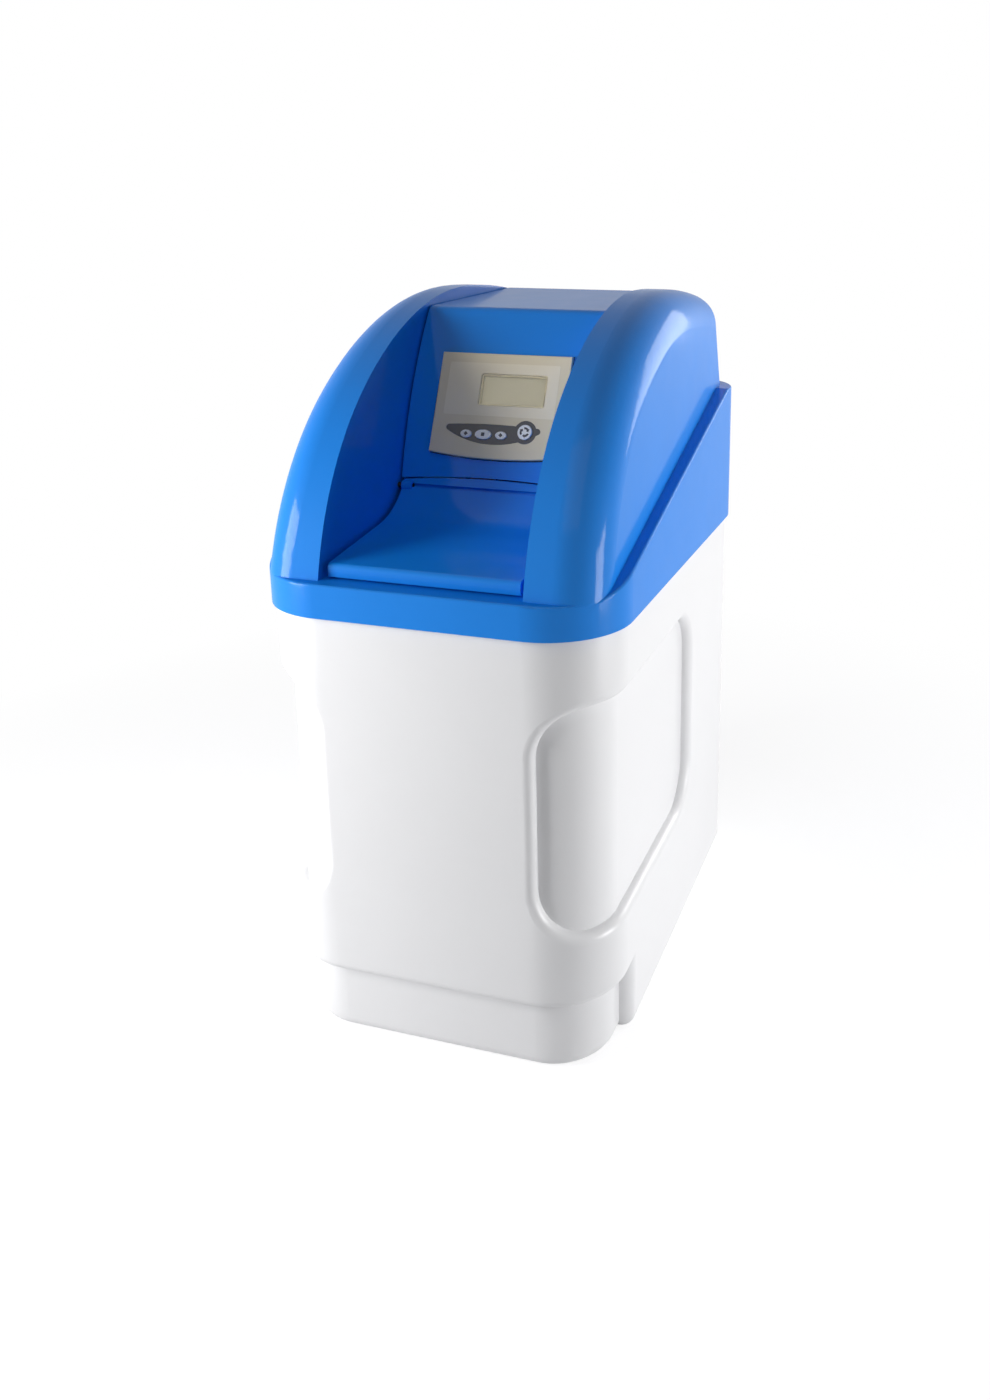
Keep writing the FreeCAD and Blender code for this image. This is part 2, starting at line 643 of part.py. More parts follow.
def recess_cutter(grown):
    """The hand recess of the right side, which wraps round the front corner."""
    half = size("hood_depth / 2")
    inner = size("recess_inner") - grown
    rear = size("recess_back") - half + grown
    low = size("recess_low") - grown
    high = size("recess_high") + grown
    corner = size("recess_corner") + grown
    seen_front = Part.makeBox(TOP, 2 * TOP, high - low, Vector(inner, -TOP, low))
    edges = [e for e in seen_front.Edges
             if abs(e.CenterOfMass.x - inner) < 1e-3 and e.BoundBox.YLength > TOP]
    seen_front = seen_front.makeFillet(corner, edges)
    seen_side = Part.makeBox(TOP, TOP, high - low, Vector(0, rear - TOP, low))
    edges = [e for e in seen_side.Edges
             if abs(e.CenterOfMass.y - rear) < 1e-3 and e.BoundBox.XLength > TOP - 1]
    seen_side = seen_side.makeFillet(corner, edges)
    floor = plan_prism(size("hood_wall + cabinet_gap + recess_depth") + grown, -TOP, TOP)
    return seen_front.common(seen_side).cut(floor)


def cabinet_mass(inset):
    top = size("cabinet_top") + inset
    upper = cabinet_plan(inset, size("toe_height") + inset, top, size("toe_round") - inset)
    plinth = cabinet_plan(size("toe_inset") + inset, inset, size("recess_low"),
                          size("foot_round") - inset)
    rear = cabinet_rear(inset)
    recess = recess_cutter(inset)
    mass = upper.fuse([plinth, rear]).removeSplitter()
    return mass.cut(recess).cut(recess.mirror(Vector(), Vector(1, 0, 0)))


def on_outside(point):
    """How far a point lies inside the cabinet's upright outer surface."""
    gap = size("hood_wall + cabinet_gap")
    radius = size("hood_corner") - gap
    dx = abs(point.x) - (size("hood_width / 2") - gap - radius)
    dy = abs(point.y) - (size("hood_depth / 2") - gap - radius)
    if dx > 0 and dy > 0:
        return radius - math.hypot(dx, dy)
    return radius - max(dx, dy)


def made_cabinet():
    outer = cabinet_mass(0)
    low, high = size("recess_low") - 0.01, size("recess_high") + 0.01
    rims = []
    for edge in outer.Edges:
        first, last = edge.ParameterRange
        spots = [edge.valueAt(first + (last - first) * share) for share in (0.02, 0.5, 0.98)]
        if all(low < spot.z < high and abs(on_outside(spot)) < 0.01 for spot in spots):
            rims.append(edge)
    outer = outer.makeFillet(size("recess_lip"), rims)
    return outer.cut(cabinet_mass(size("cabinet_wall"))).removeSplitter()


def pocketed(shape, *holes):
    for hole in holes:
        shape = shape.cut(hole)
    return shape.removeSplitter()


def bar(start, end, radius):
    """A round bar between two points, as a plain shape."""
    return Part.makeCylinder(radius, (end - start).Length, start, end - start)


def point(x, back_, height):
    """A place in the softener's frame, from expressions."""
    return Vector(size(x), size(back(back_)), size(height))


# The cabinet, with the hole for its overflow
cabinet_shape = made_cabinet()
overflow_hole = bar(point("-overflow_side", "hood_depth - hood_corner / 2", "overflow_height"),
                    point("-overflow_side", "hood_depth", "overflow_height"),
                    size("barb_radius + pin_gap"))
screw_radius = 1.9
screw_spots = [point(f"{side} * overflow_side", "hood_depth", "cabinet_top - rim_flange - hood_wall")
               for side in (-1, 1)]
screw_holes = [bar(spot - Vector(0, 14, 0), spot + Vector(0, 2, 0), screw_radius + 0.2)
               for spot in screw_spots]
keep(formed(pocketed(cabinet_shape, overflow_hole, *screw_holes), "Cabinet"), "cabinet")

# The hood, screwed to the cabinet's rear wall
foot_side = "channel_width / 2 - fascia_gap - rail_width / 2"
fascia_feet = [point(f"{side} * ({foot_side})", back_, "rail_height + seat_gap")
               for side in (-1, 1) for back_ in ("panel_back + 40", "wing_foot_back - 60")]
foot_screw = 1.3
foot_holes = [bar(spot - Vector(0, 0, 12), spot, foot_screw + 0.3) for spot in fascia_feet]
keep(formed(pocketed(made_hood(), *screw_holes, *foot_holes), "Hood"), "hood")


def pan_screw(spot, direction, length, radius, head):
    """A pan-head screw whose head sits on the spot and whose shank runs along the direction."""
    shank = bar(spot, spot + direction * length, radius)
    dome = Part.makeSphere(head * 1.25, spot + direction * (head * 0.75))
    room = bar(spot - direction * (head * 0.55), spot, head)
    return shank.fuse(dome.common(room))


screws = [pan_screw(spot + Vector(0, 0.05, 0), Vector(0, -1, 0), 12.0, screw_radius, 3.8)
          for spot in screw_spots]
keep(formed(Part.makeCompound(screws), "HoodScrews"), "hood_screws")


def lid_path(inset):
    """The lid's top in side view: its flat part, then the upswept part past the seam."""
    slope = math.radians(size("lid_slope"))
    front = size("lid_front")
    normal = Vector(math.sin(slope), -math.cos(slope), 0)
    start = Vector(front, size("lid_height"), 0)
    length = (size("lid_flat_end") - front) / math.cos(slope)
    end = start + Vector(math.cos(slope), math.sin(slope), 0) * length
    radius = size("lid_curve")
    centre = end - normal * radius
    reach = math.radians(size("lid_sweep"))

    def on_arc(angle):
        heading = slope + angle
        return centre + Vector(math.sin(heading), -math.cos(heading), 0) * (radius + inset)

    edges = [Part.LineSegment(start + normal * inset, on_arc(0)).toShape(),
             Part.Arc(on_arc(0), on_arc(reach / 2), on_arc(reach)).toShape()]
    return edges


def lid_slab(shallow, deep, half_width):
    """The lid's curved plate between two depths under its top."""
    upper = lid_path(shallow)
    lower = lid_path(deep)
    first, last = upper[0].Vertexes[0].Point, upper[1].Vertexes[-1].Point
    third, fourth = lower[1].Vertexes[-1].Point, lower[0].Vertexes[0].Point
    edges = upper + [Part.LineSegment(last, third).toShape()]
    edges += lower + [Part.LineSegment(fourth, first).toShape()]
    wire = Part.Wire(Part.__sortEdges__(edges))
    return across(Part.Face(upright(wire)), half_width)


def seam_barrel(gap):
    """The large barrel whose top is the arched seam between lid and fascia."""
    half = size("lid_width / 2")
    bow = size("seam_bow")
    radius = (half * half + bow * bow) / (2 * bow)
    top = size("seam_height") + bow + gap
    return bar(Vector(0, -TOP, top - radius), Vector(0, TOP, top - radius), radius)


def made_lid():
    half = size("lid_width / 2")
    wall = size("lid_wall")
    slab = lid_slab(0, size("lid_skirt"), half)
    front = size(back("lid_front"))
    lip = Part.makeBox(2 * half, size("lip_round") + wall, size("lip_drop"),
                       Vector(-half, front, size("lid_height - lip_drop")))
    slab = slab.fuse(lip).removeSplitter()
    nose = [e for e in slab.Edges
            if abs(e.CenterOfMass.y - front) < 1e-3 and e.BoundBox.XLength > half
            and e.CenterOfMass.z > size("lid_height") - 1]
    slab = slab.makeFillet(size("lip_round"), nose)
    pocket = lid_slab(wall, 3 * size("lid_skirt"), half - wall)
    behind = Part.makeBox(2 * TOP, TOP, 2 * TOP, Vector(-TOP, front + size("lip_round") + 2 * wall, 0))
    tail = size(back("lid_pivot_back")) - size("hinge_ear") - wall
    before = Part.makeBox(2 * TOP, TOP + tail, 2 * TOP, Vector(-TOP, -TOP, 0))
    lid = slab.cut(pocket.common(behind).common(before)).common(seam_barrel(0))
    tail = size(back("lid_pivot_back + lid_tail"))
    lid = lid.cut(Part.makeBox(2 * TOP, TOP, 2 * TOP, Vector(-TOP, tail, 0)))
    axis = point("0", "lid_pivot_back", "lid_pivot_height")
    ears = []
    for side in (-1, 1):
        ear = bar(axis + Vector(side * (half - 4 * wall), 0, 0), axis + Vector(side * half, 0, 0),
                  size("hinge_ear"))
        ears.append(ear)
    lid = lid.fuse(ears)
    bore = bar(axis + Vector(-TOP, 0, 0), axis + Vector(TOP, 0, 0), size("lid_pin_radius"))
    return lid.cut(bore).removeSplitter()


keep(formed(made_lid(), "SaltLid"), "salt_lid")
pins = [rod(f"{start}", back("lid_pivot_back"), "lid_pivot_height", "lid_pin_radius",
            "channel_width / 2 + hood_wall - lid_width / 2 + 4 * lid_wall", "x")
        for start in ("lid_width / 2 - 4 * lid_wall", "-(channel_width / 2 + hood_wall)")]
keep(group(*pins), "lid_hinge_pins")


def fascia_outline(inset):
    """The fascia in side view: the crowned panel, the bend, the roof and the leaning rear."""
    foot = Vector(size("panel_back"), size("panel_foot"), 0)
    bend = foot + Vector(size("panel_depth"), size("panel_rise"), 0)
    chord = bend - foot
    crown = size("panel_crown")
    radius = (chord.Length ** 2 / 4 + crown ** 2) / (2 * crown)
    outward = Vector(-chord.y, chord.x, 0).normalize()
    middle = (foot + bend) / 2 + outward * crown
    centre = middle - outward * radius
    lean = math.tan(math.radians(size("wing_rear_lean")))
    level = size("ledge_height + ledge_rise")
    low = size("rail_height + seat_gap")
    slope = size("roof_rise") / (size("wing_foot_back") - bend.x)
    shrink = radius - inset

    def on_panel(height):
        return Vector(centre.x - math.sqrt(shrink ** 2 - (height - centre.y) ** 2), height, 0)

    def on_rear(height):
        return Vector(size("wing_foot_back") - inset / math.cos(math.atan(lean))
                      - (height - level) * lean, height, 0)

    roof = size("roof_front") - inset
    bottom = low if inset == 0 else low - 2 * inset
    front_top = on_panel(roof)
    rear_height = roof + (on_rear(roof).x - front_top.x) * slope / (1 + slope * lean)
    corners = [on_panel(bottom), front_top, on_rear(rear_height), on_rear(bottom)]
    via = on_panel((bottom + roof) / 2)
    edges = [Part.Arc(corners[0], via, corners[1]).toShape()]
    for number in (1, 2, 3):
        edges.append(Part.LineSegment(corners[number], corners[(number + 1) % 4]).toShape())
    return Part.Wire(edges)


def fascia_mass(inset):
    face = Part.Face(upright(fascia_outline(inset)))
    mass = across(face, size("channel_width / 2 - fascia_gap") - inset)
    bends = [e for e in mass.Edges if e.BoundBox.XLength > size("channel_width / 2")
             and e.CenterOfMass.z > size("roof_front") - inset - 1]
    return mass.makeFillet(size("roof_bend") - inset, bends)


panel_lean = math.degrees(math.atan2(size("panel_rise"), size("panel_depth")))
panel_place = Placement(point("plate_side", "panel_back", "panel_foot"),
                        Rotation(Vector(1, 0, 0), panel_lean))
face_level = size("panel_crown + plate_proud")


def plate_outline(grown, low):
    """The faceplate's outline on the panel, with its bowed lower edge."""
    half = size("plate_width / 2") + grown
    bottom = size("plate_low") - grown
    top = size("plate_high") + grown
    left, right = Vector(-half, bottom, low), Vector(half, bottom, low)
    bow = Vector(0, bottom - size("plate_bow"), low)
    edges = [Part.Arc(left, bow, right).toShape(),
             Part.LineSegment(right, Vector(half, top, low)).toShape(),
             Part.LineSegment(Vector(half, top, low), Vector(-half, top, low)).toShape(),
             Part.LineSegment(Vector(-half, top, low), left).toShape()]
    return Part.Face(Part.Wire(edges))


def on_panel(shape):
    """Move a shape from the panel's own frame to its place."""
    return shape.transformGeometry(panel_place.toMatrix())


def made_fascia():
    shell = fascia_mass(0).cut(fascia_mass(size("fascia_wall")))
    opening = plate_outline(size("plate_gap"), -TOP / 8).extrude(Vector(0, 0, TOP / 4))
    shell = shell.cut(opening.transformed(panel_place.toMatrix()))
    half = size("channel_width / 2 - fascia_gap - fascia_wall")
    rear = size("hood_depth / 2 - hood_corner")
    pipes = Part.makeBox(2 * half - 2 * size("rail_width"), TOP, size("rear_sill"),
                         Vector(-half + size("rail_width"), rear, 0))
    shell = shell.cut(pipes)
    seam = seam_barrel(size("seam_gap"))
    near = Part.makeBox(2 * TOP, TOP, TOP, Vector(-TOP, size(back("panel_back")) - TOP + 3 * size("hinge_ear"), 0))
    shell = shell.cut(seam.common(near))
    feet = []
    for spot in fascia_feet:
        feet.append(Part.makeBox(size("rail_width"), 12, 10,
                                 spot - Vector(size("rail_width / 2"), 6, 0)))
    shell = shell.fuse(feet)
    return pocketed(shell, *[bar(spot - Vector(0, 0, 1), spot + Vector(0, 0, 8), foot_screw)
                             for spot in fascia_feet])


keep(formed(made_fascia(), "Fascia"), "control_fascia")
rail_under = size("hood_wall + seat_gap")
screws = [pan_screw(spot - Vector(0, 0, rail_under + 0.05), Vector(0, 0, 1), 9.0, foot_screw, 2.8)
          for spot in fascia_feet]
keep(formed(Part.makeCompound(screws), "FasciaScrews"), "fascia_screws")


# The controller, made in the frame of the leaning panel: X across, Y up the panel, Z outward
def slab(x, y, z, width, height, depth, rounding=0.0):
    """A plate round a middle point, from its back, with rounded corners."""
    shape = Part.makeBox(width, height, depth, Vector(x - width / 2, y - height / 2, z))
    if rounding:
        edges = [e for e in shape.Edges if e.BoundBox.ZLength > depth * 0.9
                 and e.BoundBox.XLength + e.BoundBox.YLength < 1e-3]
        shape = shape.makeFillet(rounding, edges)
    return shape


def capsule(x, y, z, half_length, half_height, depth):
    """An oval prism round a middle point, from its back."""
    if half_length <= half_height:
        return Part.makeCylinder(half_length, depth, Vector(x, y, z))
    oval = Part.Ellipse(Vector(x, y, z), half_length, half_height).toShape()
    return Part.Face(Part.Wire([oval])).extrude(Vector(0, 0, depth))


plate_back = face_level - size("plate_thick")
gap = size("seat_gap")
window_x = size("window_offset")
window_y = size("window_middle")
ARROW = (size("small_button"), size("small_height"))
BUTTONS = [("button_down", size("down_side"), size("button_row"), *ARROW),
           ("button_set", size("set_side"), size("button_row"), size("oval_button"), size("oval_height")),
           ("button_up", size("up_side"), size("button_row"), *ARROW),
           ("button_regen", size("regen_side"), size("regen_rise"), size("round_button"), size("round_button"))]


def overlay_shape(grown, low, depth):
    """The dark crescent behind the buttons, with a bulge round the last one."""
    half = size("overlay_width / 2") + grown
    rise = size("overlay_rise")
    middle = size("overlay_middle")
    left, right = Vector(middle - half, rise, low), Vector(middle + half, rise, low)
    upper = Part.Arc(left, Vector(middle, rise + size("overlay_arch") + grown, low), right).toShape()
    lower = Part.Arc(right, Vector(middle, rise - size("overlay_sag") - grown, low), left).toShape()
    crescent = Part.Face(Part.Wire([upper, lower])).extrude(Vector(0, 0, depth))
    tips = [e for e in crescent.Edges if e.BoundBox.ZLength > depth * 0.9
            and e.BoundBox.XLength < 1e-3]
    crescent = crescent.makeFillet(size("overlay_tip"), tips)
    round_ = size("bulge_radius") + grown
    bulge = capsule(size("regen_side"), size("regen_rise"), low, round_, round_, depth)
    return crescent.fuse(bulge).removeSplitter()


overlay_thick = size("overlay_thick")
plate = plate_outline(0, plate_back).extrude(Vector(0, 0, size("plate_thick")))
rim = [e for e in plate.Edges if abs(e.BoundBox.ZMin - face_level) < 1e-3]
plate = plate.makeFillet(size("plate_round"), rim)
lens_width, lens_length = size("window_width"), size("window_length")
lens_thick = size("window_thick")
lens_low = face_level - lens_thick - size("window_sunk")
lens_corner = size("window_corner")
ledge = 2 * size("window_ledge")
through = 2 * size("plate_thick")
holes = [slab(window_x, window_y, lens_low, lens_width + 2 * gap, lens_length + 2 * gap, through, lens_corner + gap),
         slab(window_x, window_y, plate_back - 1, lens_width - ledge, lens_length - ledge, through),
         overlay_shape(gap / 2, face_level - overlay_thick, through)]
holes += [capsule(x, y, plate_back - 1, long_ + gap, high + gap, through)
          for _, x, y, long_, high in BUTTONS]
keep(formed(on_panel(pocketed(plate, *holes)), "Faceplate"), "controller_faceplate")
lens = slab(window_x, window_y, lens_low, lens_width, lens_length, lens_thick, lens_corner)
keep(formed(on_panel(lens), "DisplayWindow"), "display_window")
board_top = plate_back - size("board_depth")
margin = 2 * size("display_margin")
module = slab(window_x, window_y, board_top + gap, lens_width + margin, lens_length + margin,
              size("board_depth") - 2 * gap)
keep(formed(on_panel(module), "Display"), "lcd_panel")
overlay = overlay_shape(0, face_level - overlay_thick, overlay_thick)
overlay = pocketed(overlay, *[capsule(x, y, 0, long_ + gap, high + gap, 2 * face_level)
                              for _, x, y, long_, high in BUTTONS])
keep(formed(on_panel(overlay), "Overlay"), "keypad_overlay")
switch_high = size("switch_height")
travel = size("button_travel")
flange_thick = size("board_thick") / 2
for label, x, y, long_, high in BUTTONS:
    top = face_level + size("button_proud")
    flange_top = plate_back - gap
    cap = capsule(x, y, flange_top, long_, high, top - flange_top)
    crown = [e for e in cap.Edges if abs(e.BoundBox.ZMin - top) < 1e-3]
    cap = cap.makeFillet(size("button_round"), crown)
    wider = size("button_flange")
    flange = capsule(x, y, flange_top - flange_thick, long_ + wider, high + wider, flange_thick)
    stem_low = board_top + switch_high + travel + gap
    stem = Part.makeCylinder(size("button_stem"), flange_top - stem_low, Vector(x, y, stem_low))
    keep(formed(on_panel(cap.fuse([flange, stem]).removeSplitter()), label), label)
board_low = board_top - size("board_thick")
board_half = size("plate_width / 2 - housing_side - housing_wall - board_side")
board_start = size("plate_low + housing_low + housing_wall + board_foot")
board_end = size("plate_high - housing_high - housing_wall - board_head")
board_middle = (board_start + board_end) / 2
board = slab(0, board_middle, board_low, 2 * board_half, board_end - board_start, size("board_thick"), 2.0)
chip_x = size("chip_inset") - board_half
fittings = [slab(x, y, board_top, 6, 6, switch_high) for _, x, y, _, _ in BUTTONS]
fittings += [slab(chip_x, board_middle + 17, board_top, 10, 16, 3.0),
             slab(chip_x, board_middle - 5, board_top, 12, 12, 2.0)]
keep(formed(on_panel(board.fuse(fittings)), "CircuitBoard"), "circuit_board")

# The controller's housing: a wedge between the leaning plate and an upright rear wall
lean_cos, lean_sin = math.cos(math.radians(panel_lean)), math.sin(math.radians(panel_lean))


def panel_point(along, out):
    """(back, height) of a place on the panel."""
    return (size("panel_back") + along * lean_cos - out * lean_sin,
            size("panel_foot") + along * lean_sin + out * lean_cos)


def housing_mass(inset, out):
    """The wedge, moved in by an inset and carried out through its open front."""
    low, high = size("plate_low + housing_low") + inset, size("plate_high - housing_high") - inset
    rear = size("housing_back") - inset
    front = plate_back - gap
    first, last = panel_point(low, front), panel_point(high, front)
    outline = [first, panel_point(low, front + out), panel_point(high, front + out), last,
               (rear, last[1]), (rear, first[1])]
    if not out:
        outline = [first] + outline[3:]
    mass = across(side_face(outline), size("plate_width / 2 - housing_side") - inset)
    return mass.translated(Vector(size("plate_side"), 0, 0))


housing_foot = panel_point(size("plate_low + housing_low"), plate_back - gap)[1]
motor_height = size("shaft_height + gear_module * (pinion_teeth + wheel_teeth) / 2")
housing = housing_mass(0, 0).cut(housing_mass(size("housing_wall"), size("housing_back - panel_back")))
jack_height = "panel_foot + jack_rise"
boss_holes = [bar(point("0", "housing_back - 20", motor_height), point("0", "housing_back + 5", motor_height), 5.5),
              bar(point("-jack_side", "housing_back - 20", jack_height),
                  point("-jack_side", "housing_back + 5", jack_height), size("jack_radius + seat_gap"))]
boss = size("boss_radius")
posts = []
for x in (boss + 1 - board_half, board_half - boss - 1):
    for along in (board_start + 2 * boss, board_end - 2 * boss):
        posts.append(Part.makeCylinder(boss, board_low - gap + TOP / 8, Vector(x, along, -TOP / 8)))
posts = [on_panel(post).common(housing_mass(size("housing_wall") / 2, 0)) for post in posts]
keep(formed(pocketed(housing.fuse(posts), *boss_holes), "Housing"), "controller_housing")
jack = cut(rod("-jack_side", back("housing_back - housing_wall"), jack_height, "jack_radius", "11", "y"),
           rod("-jack_side", back("housing_back"), jack_height, "2.8", "20", "y"))
keep(jack, "power_inlet")

# The drive: a gear motor turns the camshaft's wheel
axis_height = "shaft_height + gear_module * (pinion_teeth + wheel_teeth) / 2"
gear_back = "housing_back + 2.5"
motor = fuse(rod("0", back("housing_back - housing_wall - motor_length - seat_gap"), axis_height,
                 "motor_radius", "motor_length", "y"),
             rod("0", back("housing_back - housing_wall - seat_gap - 1"), axis_height, "5", "3", "y"))
keep(cut(motor, rod("0", back("housing_back - 10"), axis_height, "2.3", "20", "y")), "gear_motor")


def toothed(teeth, phase, height, bore):
    """A spur gear about an axis along Y."""
    radius = size(f"gear_module * {teeth} / 2")
    pitch = 2 * math.pi / size(teeth)
    root, tip = radius - 1.2 * size("gear_module"), radius + 0.9 * size("gear_module")
    corners = []
    for number in range(int(size(teeth))):
        angle = math.radians(phase) + number * pitch
        for reach, share in ((root, -0.30), (tip, -0.12), (tip, 0.12), (root, 0.30)):
            turn = angle + share * pitch
            corners.append(Vector(reach * math.cos(turn), size(back(gear_back)),
                                  height + reach * math.sin(turn)))
    face = Part.Face(Part.makePolygon(corners + corners[:1]))
    shape = face.extrude(Vector(0, size("gear_width"), 0))
    if bore:
        centre = Vector(0, size(back(gear_back)) - 1, height)
        shape = shape.cut(Part.makeCylinder(bore, 20, centre, Vector(0, 1, 0)))
    return shape


half_pitch = 180 / size("pinion_teeth")
pinion = toothed("pinion_teeth", 90 + half_pitch, motor_height, 0)
pinion_shaft = bar(point("0", "housing_back - 8", motor_height),
                   point("0", f"{gear_back} + gear_width", motor_height), 2.0)
keep(formed(pinion.fuse(pinion_shaft), "Pinion"), "motor_pinion")
wheel = toothed("wheel_teeth", 90, size("shaft_height"), size("shaft_radius"))
lightening = []
for number in range(6):
    angle = math.radians(60 * number)
    spot = point("0", gear_back, "shaft_height") + Vector(14 * math.cos(angle), -1, 14 * math.sin(angle))
    lightening.append(Part.makeCylinder(4.0, 20, spot, Vector(0, 1, 0)))
keep(formed(pocketed(wheel, *lightening), "Wheel"), "cam_drive_gear")

# The camshaft: six cams, each with its own lobes, and a slotted timing disc.
# Each lobe is given by where it starts and how far it goes, in degrees.
CAM_TIMING = [[(0, 70)], [(60, 120)], [(150, 60), (300, 30)], [(200, 90)], [(20, 40), (250, 70)], [(120, 100)]]
shaft_end = "cam_start + 6 * cam_pitch + 2"


def shaft_point(back_):
    return point("0", back_, "shaft_height")


def made_camshaft():
    start = shaft_point(gear_back)
    shaft = bar(start, shaft_point(shaft_end), size("shaft_radius"))
    lobes = []
    width = size("cam_width")
    for number, lobe_list in enumerate(CAM_TIMING):
        near = shaft_point(f"cam_start + {number} * cam_pitch - cam_width / 2")
        lobes.append(Part.makeCylinder(size("cam_base"), width, near, Vector(0, 1, 0)))
        for first, sweep in lobe_list:
            lobe = Part.makeCylinder(size("cam_base + cam_lift"), width, near, Vector(0, 1, 0), sweep)
            lobe.rotate(near, Vector(0, 1, 0), first)
            lobes.append(lobe)
    disc = Part.makeCylinder(size("cam_base + cam_lift"), 2.0, shaft_point("cam_start + 5.6 * cam_pitch"),
                             Vector(0, 1, 0))
    for number in range(8):
        slot = Part.makeBox(4, 10, 1.6, Vector(-2, -5, -0.8) + Vector(12, 0, 0))
        slot.rotate(Vector(), Vector(0, 1, 0), 45 * number)
        slot.translate(shaft_point("cam_start + 5.6 * cam_pitch + 1"))
        disc = disc.cut(slot)
    return shaft.fuse(lobes + [disc]).removeSplitter()


keep(formed(made_camshaft(), "Camshaft"), "camshaft")

# The valve: a block with two galleries, a spigot in the tank's neck, and six pockets
neck_bore = "neck_radius - tank_wall - 0.7"
spigot = "neck_radius - tank_wall - 1.3"
block_length = "valve_back - valve_front"
body = fuse(block("-valve_half", back("valve_front"), "valve_floor", "2 * valve_half", block_length,
                  "valve_top - valve_floor"),
            *[rod(f"{side} * port_spread", back("valve_front + 5"), "port_height", "port_radius",
                  "port_end - valve_front - 5", "y") for side in (-1, 1)],
            rod("0", back("tank_back"), "neck_top - 16", spigot, "valve_floor - neck_top + 17"),
            rod("0", back("tank_back"), "valve_floor - 4", "neck_radius + 5", "5"),
            rod("port_spread", back("valve_front + injector_offset"), "port_height", "11", "16", "x"),
            rod("port_spread", back("valve_front + brine_offset"), "port_height", "8.5", "18", "x"),
            rod("-port_spread - 18", back("valve_front + drain_offset"), "port_height", "8.5", "18", "x"),
            *[block(x, back("housing_back - 20"), "valve_top - 14", "10",
                    "valve_front - housing_back + 20", f"{housing_foot - gap} - valve_top + 14")
              for x in ("-valve_half", "valve_half - 10")])
pockets = [block("-13", back(f"cam_start + {number} * cam_pitch - 8.5"), "valve_top - pocket_depth",
                 "22", "17", "pocket_depth + 1") for number in range(6)]
bores = [rod(f"{side} * port_spread", back("valve_front + 40"), "port_height", "port_bore", "200", "y")
         for side in (-1, 1)]
bores += [rod("0", back("tank_back"), "neck_top - 20", "riser_radius + seat_gap", "port_height - neck_top + 20"),
          cut(rod("0", back("tank_back"), "neck_top - 10", "60", "3.8"),
              rod("0", back("tank_back"), "neck_top - 11", "neck_radius - tank_wall - 4", "6"))]
body = cut(body, *pockets, *bores)
spider = [block(f"-port_spread - port_bore - 1", back(f"{spot}"), "port_height - 1.5",
                "2 * port_bore + 2", "1.6", "3") for spot in ("port_end - 27", "port_end - 6")]
body = cut(fuse(body, *spider),
           rod("-port_spread", back("port_end - 30"), "port_height", "1.0 + seat_gap", "40", "y"))
keep(body, "valve_body")

cam_places = [f"cam_start + {number} * cam_pitch" for number in range(6)]
post_high = "shaft_height + shaft_radius + 4 - valve_top - cover_thick"
posts = [block("-9", back(spot), "valve_top + cover_thick", "18", "5", post_high)
         for spot in ("valve_front + 0.3", "cam_start + 6 * cam_pitch - 4")]
lever_top = "shaft_height - cam_base - cam_lift - seat_gap"
lever_middle = f"({lever_top} - disc_arm / 2)"
ribs = [block("-disc_pivot - 3", back(f"cam_start + ({number} - 0.5) * cam_pitch - 1.5"),
              "valve_top + cover_thick", "6", "3", f"{lever_middle} + 3 - valve_top - cover_thick")
        for number in range(7)]
cover = fuse(block("-valve_half", back("valve_front"), "valve_top", "2 * valve_half", block_length, "cover_thick"),
             *posts, *ribs)
ways = [rod("-1", back(spot), "valve_top - 1", "5.2", "cover_thick + 2") for spot in cam_places]
cover = cut(cover, *ways,
            rod("0", back("valve_front - 5"), "shaft_height", "shaft_radius + pin_gap", "220", "y"),
            rod("-disc_pivot", back("valve_front - 5"), lever_middle, "1.3", "220", "y"))
keep(cover, "valve_top_plate")
keep(rod("-disc_pivot", back("cam_start - 0.5 * cam_pitch - 1.5"), lever_middle, "1.3", "6 * cam_pitch + 3", "y"),
     "disc_pivot_pin")
for number, spot in enumerate(cam_places):
    lever = fuse(rod("-disc_pivot", back(f"{spot} - 3.5"), lever_middle, "3.2", "7", "y"),
                 block("-disc_pivot", back(f"{spot} - 3.5"), f"{lever_top} - disc_arm", "disc_pivot + 8", "7", "disc_arm"),
                 rod("0", back(spot), "valve_top - 2", "2.5", f"{lever_top} - disc_arm - valve_top + 3"),
                 rod("0", back(spot), "valve_top - seat_gap - 2.5", "disc_radius", "2.5"))
    lever = cut(lever, rod("-disc_pivot", back(f"{spot} - 5"), lever_middle, "1.3 + pin_gap", "10", "y"))
    keep(lever, f"valve_disc_{number + 1}")
sensor_back = "cam_start + 5.6 * cam_pitch + 1"
sensor = cut(block("8", back(f"{sensor_back} - 3"), "valve_top + cover_thick + seat_gap", "14", "6",
                   "shaft_height + 5 - valve_top - cover_thick"),
             block("7", back(f"{sensor_back} - 1.6"), "shaft_height - 16", "9", "3.2", "40"))
keep(sensor, "optical_sensor")
keep(fuse(rod("port_spread + 16.3", back("valve_front + injector_offset"), "port_height", "10", "9", "x"),
          block("port_spread + 20", back("valve_front + injector_offset - 9"), "port_height - 2", "7", "18", "4")), "injector_cap")
line_start = "port_spread + 24"
brine_back = "valve_front + brine_offset"
keep(cut(fuse(rod("port_spread + 18.3", back(brine_back), "port_height", "7.5", "4", "x"),
              rod("port_spread + 18.3", back(brine_back), "port_height", "6.5", "12", "x")),
         rod(line_start, back(brine_back), "port_height", "line_radius + 0.1", "20", "x")), "brine_fitting")
drain_back = "valve_front + drain_offset"
drain_x = "-port_spread - 26"
